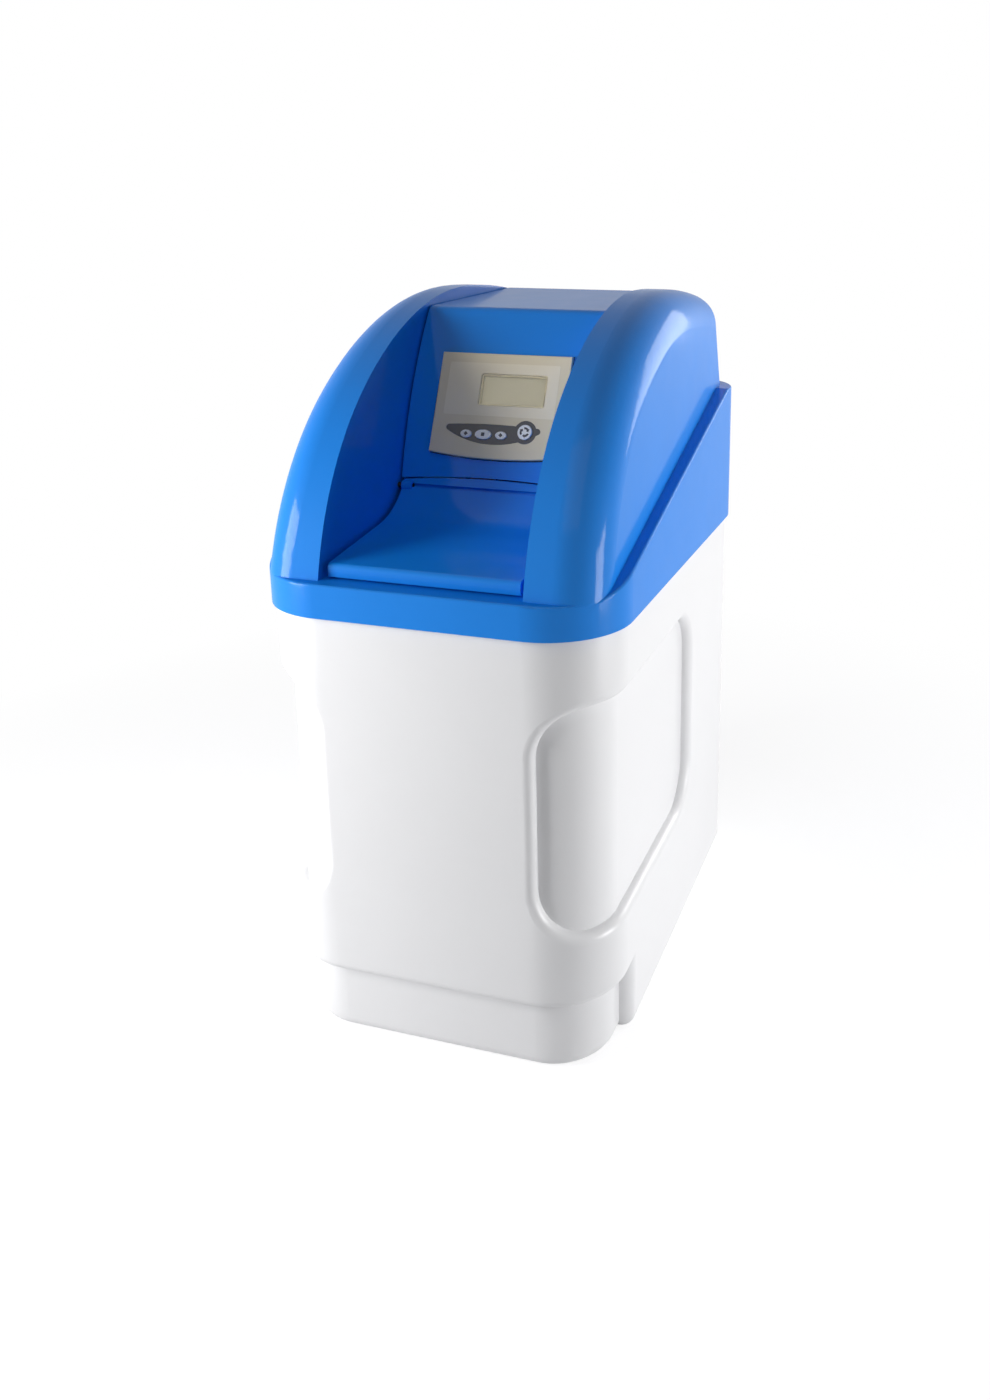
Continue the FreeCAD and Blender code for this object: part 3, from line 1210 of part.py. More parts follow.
drain = fuse(rod("-port_spread - 32", back(drain_back), "port_height", "8", "13.7", "x"),
             rod(drain_x, back(drain_back), "port_height", "barb_radius - 1", "52", "y"),
             *[cone(drain_x, back(f"{drain_back} + {step}"), "port_height", "barb_radius", "barb_radius - 1.2", "7", "y")
               for step in (24, 31, 38, 45)])
keep(cut(drain, rod(drain_x, back(drain_back), "port_height", "barb_bore", "60", "y")), "drain_fitting")


# The wound resin tank, its base cup, and what it holds
def tank_mass(inset):
    """The tank as a full solid, moved in by an inset, with its neck."""
    radius = size("tank_radius") - inset
    dome = size("tank_dome") - inset
    low = size("tank_foot + tank_dome")
    high = size("tank_shoulder")
    lower = Part.makeSphere(dome)
    matrix = FreeCAD.Matrix()
    matrix.scale(radius / dome, radius / dome, 1.0)
    lower = lower.transformGeometry(matrix)
    upper = lower.copy()
    lower.translate(Vector(0, 0, low))
    upper.translate(Vector(0, 0, high))
    barrel = Part.makeCylinder(radius, high - low, Vector(0, 0, low))
    mass = barrel.fuse([lower, upper])
    mass.translate(Vector(0, size(back("tank_back")), 0))
    return mass


def tank_bar(radius, low, high):
    return Part.makeCylinder(radius, high - low, Vector(0, size(back("tank_back")), low))


neck_high = size("neck_top")
tank = tank_mass(0).fuse(tank_bar(size("neck_radius"), size("tank_shoulder"), neck_high))
hollow = tank_mass(size("tank_wall")).fuse(tank_bar(size(neck_bore), size("tank_shoulder"), neck_high + 5))
keep(formed(tank.cut(hollow), "ResinTank"), "resin_tank")
boot = tank_bar(size("tank_radius"), size("cabinet_wall") + gap, size("boot_height"))
boot = boot.cut(tank_mass(-gap)).cut(tank_bar(40, 0, size("boot_height")))
keep(formed(boot, "TankBoot"), "tank_boot")
basket_top = size("tank_foot + tank_dome")
basket_low = size("tank_foot + tank_wall") + 1.6
bed = tank_mass(size("tank_wall") + gap).common(tank_bar(TOP, -TOP, size("bed_height")))
bed = bed.cut(tank_bar(size("basket_radius") + gap, -TOP, basket_top + gap))
bed = bed.cut(tank_bar(size("riser_radius") + gap, -TOP, TOP))
keep(formed(bed, "ResinBed"), "resin_bed")
riser_low = size("tank_foot + tank_dome") - 16
keep(turned([("riser_radius - riser_wall", "0"), ("riser_radius", "0"), ("riser_radius", f"port_height - {riser_low} - 4"),
             ("riser_radius - riser_wall", f"port_height - {riser_low} - 4")],
            "0", back("tank_back"), f"{riser_low}", "Riser"), "riser_tube")


def basket(outer, inner, low, high, seat):
    """A slotted strainer round the riser."""
    shape = tank_bar(outer, low, high).cut(tank_bar(outer - 2, low + 2, high - 2))
    shape = shape.fuse(tank_bar(inner + 2, low, high)) if seat is None else shape
    for level in range(int((high - low - 8) / 6)):
        for number in range(8):
            spot = low + 5 + 6 * level
            slot = Part.makeBox(outer + 2, 2.4, 2.0, Vector(outer / 1.6, -1.2, spot))
            slot.rotate(Vector(), Vector(0, 0, 1), 45 * number)
            slot.translate(Vector(0, size(back("tank_back")), 0))
            shape = shape.cut(slot)
    return shape.cut(tank_bar(inner, low - 1 if seat is None else seat, high + 1))


keep(formed(basket(size("basket_radius"), size("riser_radius"), basket_low, basket_top, riser_low),
            "LowerBasket"), "lower_distributor")
keep(formed(basket(size("basket_radius + 5"), size("riser_radius + seat_gap"), neck_high - 44, neck_high - 16 - gap, None),
            "UpperBasket"), "upper_distributor")
collar_low = "(tank_shoulder + tank_dome + seat_gap)"
keep(cut(rod("0", back("tank_back"), collar_low, "collar_radius", f"valve_floor - 4 - seat_gap - {collar_low}"),
         rod("0", back("tank_back"), "neck_top - 30", "neck_radius", "30 + seat_gap"),
         rod("0", back("tank_back"), "neck_top - 5", f"{spigot} + seat_gap", "40")), "tank_adapter")
keep(ring("0", back("tank_back"), "neck_top - 8.1", "neck_radius - tank_wall - 2.4", "1.6"), "tank_oring")


# The water meter's turbine, in the outlet gallery
def made_turbine():
    start = point("-port_spread", "port_end - 23", "port_height")
    hub = bar(start, start + Vector(0, 14, 0), 3.2)
    axle = bar(start - Vector(0, 3.6, 0), start + Vector(0, 17.6, 0), 1.0)
    blades = []
    for number in range(6):
        blade = Part.makeBox(1.2, 15, size("port_bore") - 0.8, Vector(-0.6, -7.5, 0))
        blade.rotate(Vector(), Vector(0, 0, 1), 28)
        blade.translate(start + Vector(0, 7, 0))
        blade.rotate(start, Vector(0, 1, 0), 60 * number)
        blades.append(blade)
    reach = bar(start, start + Vector(0, 14, 0), size("port_bore") - 0.8)
    return hub.fuse([axle] + [blade.common(reach) for blade in blades]).removeSplitter()


keep(formed(made_turbine(), "Turbine"), "flow_turbine")

# The bypass valve and the pipe connections behind it
bypass_front = "port_end + seat_gap"
barrel_back = f"{bypass_front} + bypass_length / 2"
bypass_back = f"{bypass_front} + bypass_length"
barrel_low = "port_height - 21"
sides = (("inlet", 1), ("outlet", -1))
bypass = fuse(block("-port_spread", back(f"{barrel_back} - 9"), "port_height - 9", "2 * port_spread", "18", "18"),
              *[rod(f"{side} * port_spread", back(bypass_front), "port_height", "port_radius", "bypass_length", "y")
                for _, side in sides],
              *[rod(f"{side} * port_spread", back(barrel_back), barrel_low, "barrel_radius", "44") for _, side in sides])
bypass = cut(bypass,
             *[rod(f"{side} * port_spread", back(f"{bypass_front} - 5"), "port_height", "rotor_bore", "bypass_length + 10", "y")
               for _, side in sides],
             *[rod(f"{side} * port_spread", back(barrel_back), f"{barrel_low} + 4", "rotor_radius + seat_gap", "60")
               for _, side in sides])
keep(bypass, "bypass_body")
for label, side in sides:
    x = f"{side} * port_spread"
    rotor = fuse(rod(x, back(barrel_back), f"{barrel_low} + 4 + seat_gap", "rotor_radius", "40"),
                 rod(x, back(barrel_back), f"{barrel_low} + 44 + seat_gap", "barrel_radius - 1", "6"),
                 block(f"{x} - 5", back(f"{barrel_back} - handle_length / 2"), f"{barrel_low} + 50", "10", "handle_length", "8"))
    rotor = cut(rotor, rod(x, back(f"{barrel_back} - 30"), "port_height", "rotor_bore", "60", "y"))
    keep(rotor, f"bypass_rotor_{label}")
seal_front = f"{bypass_back} + 0.1"
stub_front = f"{bypass_back} + 2.2"
stub_end = "hood_depth + pipe_reach"
nut_front = f"{bypass_back} - nut_lap"
seals = [cut(rod(f"{side} * port_spread", back(seal_front), "port_height", "port_radius - 1", "2", "y"),
             rod(f"{side} * port_spread", back(f"{bypass_back} - 1"), "port_height", "pipe_bore", "5", "y"))
         for _, side in sides]
keep(group(*seals), "connector_seals")
for label, side in sides:
    x = f"{side} * port_spread"
    stub = fuse(rod(x, back(stub_front), "port_height", "pipe_radius", f"{stub_end} - ({stub_front})", "y"),
                rod(x, back(stub_front), "port_height", "port_radius - 0.2", "3", "y"),
                rod(x, back(stub_front), "port_height", "pipe_radius + shank_wall",
                    f"{stub_end} - pipe_length - ({stub_front})", "y"))
    keep(cut(stub, rod(x, back(f"{stub_front} - 1"), "port_height", "pipe_bore", "100", "y")), f"{label}_connector")
nuts = []
for _, side in sides:
    x = f"{side} * port_spread"
    shell = fuse(rod(x, back(nut_front), "port_height", "nut_radius", "nut_length", "y"),
                 *[block(f"{x} - nut_radius - 1.2", back(nut_front), "port_height - 2",
                         "2 * nut_radius + 2.4", "nut_length", "4"),
                   block(f"{x} - 2", back(nut_front), "port_height - nut_radius - 1.2",
                         "4", "nut_length", "2 * nut_radius + 2.4")])
    nuts.append(cut(shell, rod(x, back(f"{nut_front} - 3"), "port_height", "port_radius + seat_gap",
                               f"{stub_front} + 3 + seat_gap - ({nut_front} - 3)", "y"),
                    rod(x, back(bypass_back), "port_height", "pipe_radius + shank_wall + seat_gap", "40", "y")))
keep(group(*nuts), "connector_nuts")

# The brine well beside the tank, with the float valve and the line that feeds the salt room
floor_top = "cabinet_wall + seat_gap"
well = cut(rod("well_side", back("well_back"), floor_top, "well_radius", f"well_top - {floor_top}"),
           rod("well_side", back("well_back"), "0", "well_radius - well_wall", "well_top + 10"),
           *[block("well_side - 60", back(f"well_back + {across_}"), f"{level}", "120", "3", "22")
             for level in (16, 52) for across_ in (-20, -2, 16)])
keep(well, "brine_well")
line_x = "well_side - line_offset"
float_x = "well_side + float_offset"
cap = turned([("0", "2 * seat_gap"), ("well_radius + seat_gap", "2 * seat_gap"), ("well_radius + seat_gap", "-10 + 2 * seat_gap"),
              ("well_radius + 2.3", "-10 + 2 * seat_gap"), ("well_radius + 2.3", "2.6"), ("0", "2.6")],
             "well_side", back("well_back"), "well_top", "WellCap")
keep(cut(cap, rod(line_x, back("well_back"), "well_top - 5", "line_radius + seat_gap", "20")), "brine_well_cap")
valve = cut(rod("well_side", back("well_back"), floor_top, "brine_valve_radius", f"brine_valve_top - {floor_top}"),
            rod(float_x, back("well_back"), "8", "rod_radius + pin_gap", "100"),
            rod(line_x, back("well_back"), "brine_valve_top - 10", "line_radius", "20"))
keep(cut(valve, block("well_side - 40", back("well_back - 1.5"), "10", "22", "3", "20")), "brine_valve")
keep(rod(float_x, back("well_back"), "10", "rod_radius", "rod_length"), "float_rod")
keep(cut(turned([("0", "0"), ("float_radius - 4", "0"), ("float_radius", "5"), ("float_radius", "float_length - 5"),
                 ("float_radius - 4", "float_length"), ("0", "float_length")],
                float_x, back("well_back"), "float_height - float_length", "Float"),
         rod(float_x, back("well_back"), "0", "rod_radius", "400")), "brine_float")


def made_line():
    """The brine line: straight runs joined by tangent arcs."""
    bend = size("line_bend")
    corners = [point(line_start, brine_back, "port_height"), point(line_x, brine_back, "port_height"),
               point(line_x, "well_back", "port_height"), point(line_x, "well_back", "brine_valve_top - 10")]
    edges = []
    start = corners[0]
    for number in (1, 2):
        before = (corners[number] - corners[number - 1]).normalize()
        after = (corners[number + 1] - corners[number]).normalize()
        first = corners[number] - before * bend
        last = corners[number] + after * bend
        via = corners[number] - (before - after) * bend * (1 - math.sqrt(0.5))
        edges.append(Part.LineSegment(start, first).toShape())
        edges.append(Part.Arc(first, via, last).toShape())
        start = last
    edges.append(Part.LineSegment(start, corners[-1]).toShape())
    path = Part.Wire(edges)
    ends = []
    for radius in (size("line_radius"), size("line_radius") - 1.5):
        profile = Part.Wire([Part.makeCircle(radius, corners[0], Vector(1, 0, 0))])
        ends.append(path.makePipeShell([profile], True, False))
    return ends[0].cut(ends[1])


keep(formed(made_line(), "BrineLine"), "brine_line")

# The overflow, through the cabinet's rear wall
over = ("-overflow_side", "overflow_height")
outside = "hood_depth - hood_wall - cabinet_gap"
knee = document.addObject("Part::Sphere", "Knee")
knee.setExpression("Radius", linked("barb_radius"))
place(knee, over[0], back(f"{outside} + 14"), over[1])
elbow = fuse(rod(over[0], back(f"{outside} - 16"), over[1], "barb_radius", "30", "y"), knee,
             rod(over[0], back(f"{outside} + seat_gap"), over[1], "13", "3", "y"),
             rod(over[0], back(f"{outside} + 14"), f"{over[1]} - 34", "barb_radius - 1", "34"),
             *[cone(over[0], back(f"{outside} + 14"), f"{over[1]} - 34 + {step}", "barb_radius - 1.2", "barb_radius", "6")
               for step in (1, 7, 13)])
elbow = cut(elbow, rod(over[0], back(f"{outside} - 20"), over[1], "barb_bore", "34", "y"),
            rod(over[0], back(f"{outside} + 14"), f"{over[1]} - 40", "barb_bore", "40"))
keep(elbow, "overflow_elbow")
keep(cut(rod(over[0], back(f"{outside} - cabinet_wall - 9.6"), over[1], "13", "8", "y"),
         rod(over[0], back(f"{outside} - 30"), over[1], "barb_radius", "40", "y")), "overflow_nut")
keep(cut(rod(over[0], back(f"{outside} - cabinet_wall - 1.5"), over[1], "13", "1.3", "y"),
         rod(over[0], back(f"{outside} - 30"), over[1], "barb_radius", "40", "y")), "overflow_gasket")

# Every object has to be sound before anything is written
document.recompute()
faults = [thing.Name for thing in document.Objects if {"Invalid", "Error"} & set(thing.State)]
for thing in parts:
    shape = thing.Shape
    if shape.isNull() or not shape.isValid() or not shape.Solids:
        faults.append(thing.Label)
if faults:
    raise RuntimeError("Unsound: " + ", ".join(faults))
os.makedirs("parts", exist_ok=True)
for thing in parts:
    shape = thing.Shape
    print(thing.Label, len(shape.Solids), round(shape.Volume))
    shape.exportStep(f"parts/{thing.Label}.step")
print(len(parts), "sub-parts")
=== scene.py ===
import math
import bmesh
import bpy
from mathutils import Matrix, Vector


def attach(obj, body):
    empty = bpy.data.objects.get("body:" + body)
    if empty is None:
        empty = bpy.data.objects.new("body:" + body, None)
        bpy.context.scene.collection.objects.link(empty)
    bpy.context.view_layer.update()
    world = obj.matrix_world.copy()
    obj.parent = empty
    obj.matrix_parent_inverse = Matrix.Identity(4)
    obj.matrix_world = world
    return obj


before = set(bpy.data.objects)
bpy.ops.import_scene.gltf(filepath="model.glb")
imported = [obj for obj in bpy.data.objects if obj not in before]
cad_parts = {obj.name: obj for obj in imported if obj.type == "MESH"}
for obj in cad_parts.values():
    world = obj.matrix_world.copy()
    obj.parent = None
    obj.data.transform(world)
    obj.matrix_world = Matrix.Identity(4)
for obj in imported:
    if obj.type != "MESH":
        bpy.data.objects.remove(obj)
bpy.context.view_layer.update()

# The camera, on a stand in front and to the right, a little over the softener.
# Its lens axis points right of the middle, so the picture is shifted to frame it.
FRONT = 0.255  # the cabinet's front lies this far before the origin
PICTURE_WIDE, PICTURE_HIGH = 990, 1400
AXIS_X, AXIS_Y = 649.37, 510.90  # where the lens axis meets the picture, in its pixels
FOCAL_PIXELS = 1160.58
FILM_HIGH = 36.0
YAW, PITCH, ROLL = 0.27833, 0.24895, -0.00706
CAMERA_PLACE = (0.42905, -0.80477 - FRONT, 0.73808)
camera_data = bpy.data.cameras.new("camera")
camera = bpy.data.objects.new("camera", camera_data)
bpy.context.scene.collection.objects.link(camera)
bpy.context.scene.camera = camera
camera_data.sensor_fit = "VERTICAL"
camera_data.sensor_height = FILM_HIGH
camera_data.lens = FILM_HIGH * FOCAL_PIXELS / PICTURE_HIGH
camera_data.shift_x = (PICTURE_WIDE / 2 - AXIS_X) / PICTURE_HIGH
camera_data.shift_y = (AXIS_Y - PICTURE_HIGH / 2) / PICTURE_HIGH
camera_data.clip_start = 0.01
forward = Vector((-math.sin(YAW) * math.cos(PITCH), math.cos(YAW) * math.cos(PITCH),
                  -math.sin(PITCH)))
level = Vector((math.cos(YAW), math.sin(YAW), 0))
down = forward.cross(level)
right = level * math.cos(ROLL) + down * math.sin(ROLL)
below = down * math.cos(ROLL) - level * math.sin(ROLL)
camera.matrix_world = Matrix.Translation(CAMERA_PLACE) @ Matrix(
    (right, -below, -forward)).transposed().to_4x4()

# The studio: a plain pale floor with a soft lamp at each side and one over the front,
# and a broad one behind, so that the pipes and the rear aren't lost in shade.
# Seen directly, and in reflections, the floor and the air round it are white.
bpy.context.scene.view_settings.view_transform = "Standard"
world = bpy.data.worlds.new("studio")
bpy.context.scene.world = world
world.use_nodes = True


class Wire:
    """A socket of a node, for sums that are written as they are said."""

    def __init__(self, tree, socket=None):
        self.tree = tree
        self.socket = socket

    def node(self, kind, settings=None, links=None, out=0):
        """Add a node: its settings first, then the values or links of its sockets."""
        made = self.tree.nodes.new(kind)
        for name, value in (settings or {}).items():
            setattr(made, name, value)
        for name, value in (links or {}).items():
            if isinstance(value, Wire):
                self.tree.links.new(value.socket, made.inputs[name])
            elif isinstance(value, (tuple, list)) and made.inputs[name].type == "RGBA":
                made.inputs[name].default_value = (*value[:3], 1.0)
            else:
                made.inputs[name].default_value = value
        return Wire(self.tree, made.outputs[out]) if made.outputs else None

    def math(self, operation, first, second):
        return self.node("ShaderNodeMath", {"operation": operation}, {0: first, 1: second})

    def place(self):
        """Where a point lies in its own piece."""
        return self.node("ShaderNodeTexCoord", out="Object")

    def clamp(self):
        return self.node("ShaderNodeClamp", links={"Value": self})

    def __add__(self, other):
        return self.math("ADD", self, other)

    def __radd__(self, other):
        return self.math("ADD", other, self)

    def __sub__(self, other):
        return self.math("SUBTRACT", self, other)

    def __rsub__(self, other):
        return self.math("SUBTRACT", other, self)

    def __mul__(self, other):
        return self.math("MULTIPLY", self, other)

    def __rmul__(self, other):
        return self.math("MULTIPLY", other, self)

    def __truediv__(self, other):
        return self.math("DIVIDE", self, other)


def seen(wire):
    """1 for what is seen directly, mirrored or through something clear, and 0 for light."""
    path = wire.tree.nodes.new("ShaderNodeLightPath")
    camera_ray, mirrored, through = (
        Wire(wire.tree, path.outputs[name])
        for name in ("Is Camera Ray", "Is Glossy Ray", "Is Transmission Ray"))
    return (camera_ray + mirrored + through).clamp()


PURE_WHITE = (1.0, 1.0, 1.0)
world.node_tree.nodes.clear()
air = Wire(world.node_tree)
lamp_air = air.node("ShaderNodeBackground", links={"Color": (0.93, 0.95, 1.0), "Strength": 0.085})
white_air = air.node("ShaderNodeBackground", links={"Color": PURE_WHITE, "Strength": 1.0})
both = air.node("ShaderNodeMixShader", links={0: seen(air), 1: lamp_air, 2: white_air})
air.node("ShaderNodeOutputWorld", links={"Surface": both})

REACH = 6.0
floor_mesh = bpy.data.meshes.new("studio_floor")
floor_mesh.from_pydata([(-REACH, -REACH, 0), (REACH, -REACH, 0), (REACH, REACH, 0),
                        (-REACH, REACH, 0)], [], [(0, 1, 2, 3)])
floor = bpy.data.objects.new("studio_floor", floor_mesh)
bpy.context.scene.collection.objects.link(floor)
paper = bpy.data.materials.new("white_paper")
paper.use_nodes = True
paper.node_tree.nodes.clear()
sheet = Wire(paper.node_tree)
matt = sheet.node("ShaderNodeBsdfDiffuse", links={"Color": (0.62, 0.62, 0.63)})
shade = sheet.node("ShaderNodeBsdfDiffuse", links={"Color": (0.32, 0.32, 0.33)})
glow = sheet.node("ShaderNodeEmission", links={"Color": PURE_WHITE, "Strength": 0.80})
near = sheet.node("ShaderNodeAddShader", links={0: shade, 1: glow})
far = sheet.node("ShaderNodeEmission", links={"Color": PURE_WHITE, "Strength": 1.0})
FADE_FROM, FADE_WIDE = 0.45, 0.6  # metres from the middle, where the shadow's ground ends
away = sheet.node("ShaderNodeVectorMath", {"operation": "LENGTH"}, {0: sheet.place()}, out="Value")
fade = ((away - FADE_FROM) / FADE_WIDE).clamp()
lit = sheet.node("ShaderNodeMixShader", links={0: fade, 1: near, 2: far})
shown = sheet.node("ShaderNodeMixShader", links={0: seen(sheet), 1: matt, 2: lit})
sheet.node("ShaderNodeOutputMaterial", links={"Surface": shown})
floor_mesh.materials.append(paper)

LAMPS = [  # name, place, aim, width, height, watts
    ("window_left", (-0.80, -0.74, 0.52), (-0.1, -0.1, 0.42), 0.4, 0.7, 12.2),
    ("window_right", (1.40, -0.05, 0.34), (0, 0.05, 0.38), 0.5, 0.64, 11.5),
    ("soft_top", (0.35, -1.35, 2.1), (0, 0, 0.45), 1.4, 1.4, 5),
    ("soft_rear", (1.15, 2.0, 0.9), (0, 0.2, 0.35), 1.0, 1.0, 16.5),
]
for name, place, aim, width, height, watts in LAMPS:
    data = bpy.data.lights.new(name, "AREA")
    data.shape = "RECTANGLE"
    data.size, data.size_y = width, height
    data.energy = watts
    lamp = bpy.data.objects.new(name, data)
    bpy.context.scene.collection.objects.link(lamp)
    lamp.location = place
    lamp.rotation_euler = (Vector(aim) - Vector(place)).to_track_quat("-Z", "Y").to_euler()


# The cabinet: one blow-moulded polyethylene tub with a hand recess pressed into each
# front corner and a toe step round its foot. White, with a soft grained gloss.
def finish(name):
    """A new material with its shader, ready for colours and sums."""
    material = bpy.data.materials.new(name)
    material.use_nodes = True
    material.node_tree.nodes.clear()
    wire = Wire(material.node_tree)
    shader = wire.node("ShaderNodeBsdfPrincipled")
    wire.node("ShaderNodeOutputMaterial", links={"Surface": shader})
    return material, wire, shader.socket.node


def put(wire, shader, **inputs):
    """Set or link the shader's sockets: Base_Color=..., Roughness=..."""
    for name, value in inputs.items():
        socket = shader.inputs[name.replace("_", " ")]
        if isinstance(value, Wire):
            wire.tree.links.new(value.socket, socket)
        else:
            socket.default_value = (*value, 1.0) if isinstance(value, tuple) else value


def noise(wire, scale, detail=3.0, rough=0.5, stretch=None):
    """Noise through the solid, with a scale in features per metre."""
    place = wire.place()
    if stretch:
        place = wire.node("ShaderNodeMapping", links={"Vector": place, "Scale": stretch})
    return wire.node("ShaderNodeTexNoise", links={"Vector": place, "Scale": scale,
                                                  "Detail": detail, "Roughness": rough}, out="Fac")


def tint(wire, amount, first, second):
    """One colour turning into another."""
    return wire.node("ShaderNodeMix", {"data_type": "RGBA"},
                     {"Factor": amount, 6: first, 7: second}, out=2)


def bump(wire, height, distance, strength=1.0, under=None):
    """Small relief, its distance in metres, over another relief where one is given."""
    links = {"Height": height, "Distance": distance, "Strength": strength}
    if under:
        links["Normal"] = under
    return wire.node("ShaderNodeBump", links=links)


def darker(colour, share):
    """A colour scaled down evenly."""
    return tuple(channel * share for channel in colour)


def dress(material, *names):
    """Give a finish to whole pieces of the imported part."""
    for name in names:
        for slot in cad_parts[name].material_slots:
            slot.material = material


WHITE = (0.86, 0.86, 0.87)
white, wire, shader = finish("blow_moulded_white")
slack = bump(wire, noise(wire, 16.0, 1.0), distance=0.0006, strength=0.3)
put(wire, shader, Base_Color=tint(wire, noise(wire, 7.0, 2.0), WHITE, darker(WHITE, 0.965)),
    Roughness=0.30 + 0.10 * noise(wire, 24.0), IOR=1.5, Coat_Weight=0.15, Coat_Roughness=0.25,
    Normal=bump(wire, noise(wire, 900.0, 2.0), distance=0.00004, strength=0.5, under=slack))
dress(white, "cabinet")

# The hood, salt lid and control fascia: glossy blue injection mouldings with a faint
# orange peel. The hood drops over the cabinet's rim, the fascia fills the gap between
# its wings, and the lid swings on two pins in front of it.
BLUE = (0.005, 0.24, 0.82)
blue, wire, shader = finish("glossy_blue")
waves = bump(wire, noise(wire, 22.0, 1.0), distance=0.0004, strength=0.22)
put(wire, shader, Base_Color=tint(wire, noise(wire, 9.0, 2.0), BLUE, darker(BLUE, 0.9)),
    Roughness=0.46 + 0.08 * noise(wire, 40.0), IOR=1.40, Specular_IOR_Level=0.12,
    Coat_Weight=0.30, Coat_Roughness=0.10,
    Normal=bump(wire, noise(wire, 420.0, 2.0), distance=0.00003, strength=0.35, under=waves))
dress(blue, "hood", "salt_lid", "control_fascia")

# Screws through the hood's and fascia's flanges, in zinc plated steel, and the lid's two
# hinge pins, in steel that is blacked. Both keep fine turning marks.
ALONG_X, ALONG_Y, ALONG_Z = (0.08, 1.0, 1.0), (1.0, 0.08, 1.0), (1.0, 1.0, 0.08)


def plated(name, colour, rough, stretch):
    """Steel under a thin finish, with fine marks drawn out along its axis."""
    material, wire, shader = finish(name)
    marks = noise(wire, 900.0, 2.0, 0.6, stretch)
    put(wire, shader, Base_Color=tint(wire, noise(wire, 60.0), colour, darker(colour, 0.8)),
        Metallic=1.0, Roughness=rough + 0.15 * marks,
        Normal=bump(wire, marks, distance=0.00003, strength=0.4))
    return material


ZINC = (0.62, 0.62, 0.60)
BLACKED = (0.05, 0.05, 0.055)
dress(plated("zinc_plate", ZINC, rough=0.28, stretch=ALONG_Z), "hood_screws", "fascia_screws")
dress(plated("blacked_pin", BLACKED, rough=0.34, stretch=ALONG_X), "lid_hinge_pins")


# The controller's faceplate: a greige panel moulded with a fine grain, with a slightly
# lighter label film stuck on round the display.
def moulded(name, colour, rough=0.45, grain=500.0, deep=0.00004, coat=0.0, patch=0.93):
    """Plain moulded plastic: a drift of colour, uneven gloss and a fine grain."""
    material, wire, shader = finish(name)
    put(wire, shader, Base_Color=tint(wire, noise(wire, 30.0, 2.0), colour, darker(colour, patch)),
        Roughness=rough - 0.05 + 0.10 * noise(wire, 90.0), IOR=1.47, Coat_Weight=coat,
        Coat_Roughness=0.15, Normal=bump(wire, noise(wire, grain, 2.0), deep, strength=0.6))
    return material


GREIGE = (0.77, 0.675, 0.475)
dress(moulded("faceplate_greige", GREIGE, rough=0.42, grain=1400.0, deep=0.00003),
      "controller_faceplate")

PANEL_FOOT = Vector((0, 0.160 - FRONT, 0.497))
PANEL_UP = Vector((0, 65.0, 144.0)).normalized()
PANEL_OUT = Vector((0, -PANEL_UP.z, PANEL_UP.y))
FACE = 8.3  # the faceplate's front, in millimetres from the panel's chord
MILLIMETRE = 0.001


def panel_point(x, up, out):
    """A point on the leaning panel, from millimetres across, up and out of it."""
    return (PANEL_FOOT + Vector((x, 0, 0)) * MILLIMETRE + PANEL_UP * up * MILLIMETRE
            + PANEL_OUT * out * MILLIMETRE)


def rounded(x, up, width, height, radius, steps=6):
    """A rounded rectangle's outline on the panel."""
    points = []
    for corner, (sx, sy) in enumerate(((1, 1), (-1, 1), (-1, -1), (1, -1))):
        for step in range(steps + 1):
            angle = math.radians(90 * corner + 90 * step / steps)
            points.append((x + sx * (width / 2 - radius) + radius * math.cos(angle),
                           up + sy * (height / 2 - radius) + radius * math.sin(angle)))
    return points


def film(name, outer, low, high, material, body, hole=None):
    """A thin printed piece on the panel, with an outline and perhaps a hole."""
    mesh = bmesh.new()
    rings = []
    for level in (low, high):
        for outline in filter(None, (outer, hole)):
            rings.append([mesh.verts.new(panel_point(x, up, level)) for x, up in outline])

    def band(first, second):
        """Faces from one ring to another of as many points."""
        for number in range(len(first)):
            after = (number + 1) % len(first)
            mesh.faces.new((first[number], first[after], second[after], second[number]))

    sides = len(rings) // 2
    for ring in range(sides):
        band(rings[ring], rings[ring + sides])
    if hole:
        band(rings[0], rings[1])
        band(rings[2], rings[3])
    else:
        mesh.faces.new(rings[0])
        mesh.faces.new(rings[1])
    bmesh.ops.recalc_face_normals(mesh, faces=mesh.faces)
    data = bpy.data.meshes.new(name)
    mesh.to_mesh(data)
    mesh.free()
    piece = bpy.data.objects.new(name, data)
    bpy.context.scene.collection.objects.link(piece)
    data.materials.append(material)
    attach(piece, body)


LABEL_FILM = (0.86, 0.77, 0.575)
label_film = moulded("label_film", LABEL_FILM, rough=0.36, grain=2200.0, deep=0.00001, coat=0.1)
LABEL_X, LABEL_UP, LABEL_WIDE, LABEL_HIGH, LABEL_ROUND = 1.6, 87.6, 110.3, 50.8, 1.5
WINDOW_X, WINDOW_UP, WINDOW_WIDE, WINDOW_HIGH, WINDOW_ROUND = 12.6, 87.6, 65.5, 30.0, 2.5
PLAY = 1.2  # how much wider and higher the film's hole is than the window
film("label", rounded(LABEL_X, LABEL_UP, LABEL_WIDE, LABEL_HIGH, LABEL_ROUND),
     FACE + 0.02, FACE + 0.14, label_film, "softener",
     rounded(WINDOW_X, WINDOW_UP, WINDOW_WIDE + PLAY, WINDOW_HIGH + PLAY, WINDOW_ROUND))

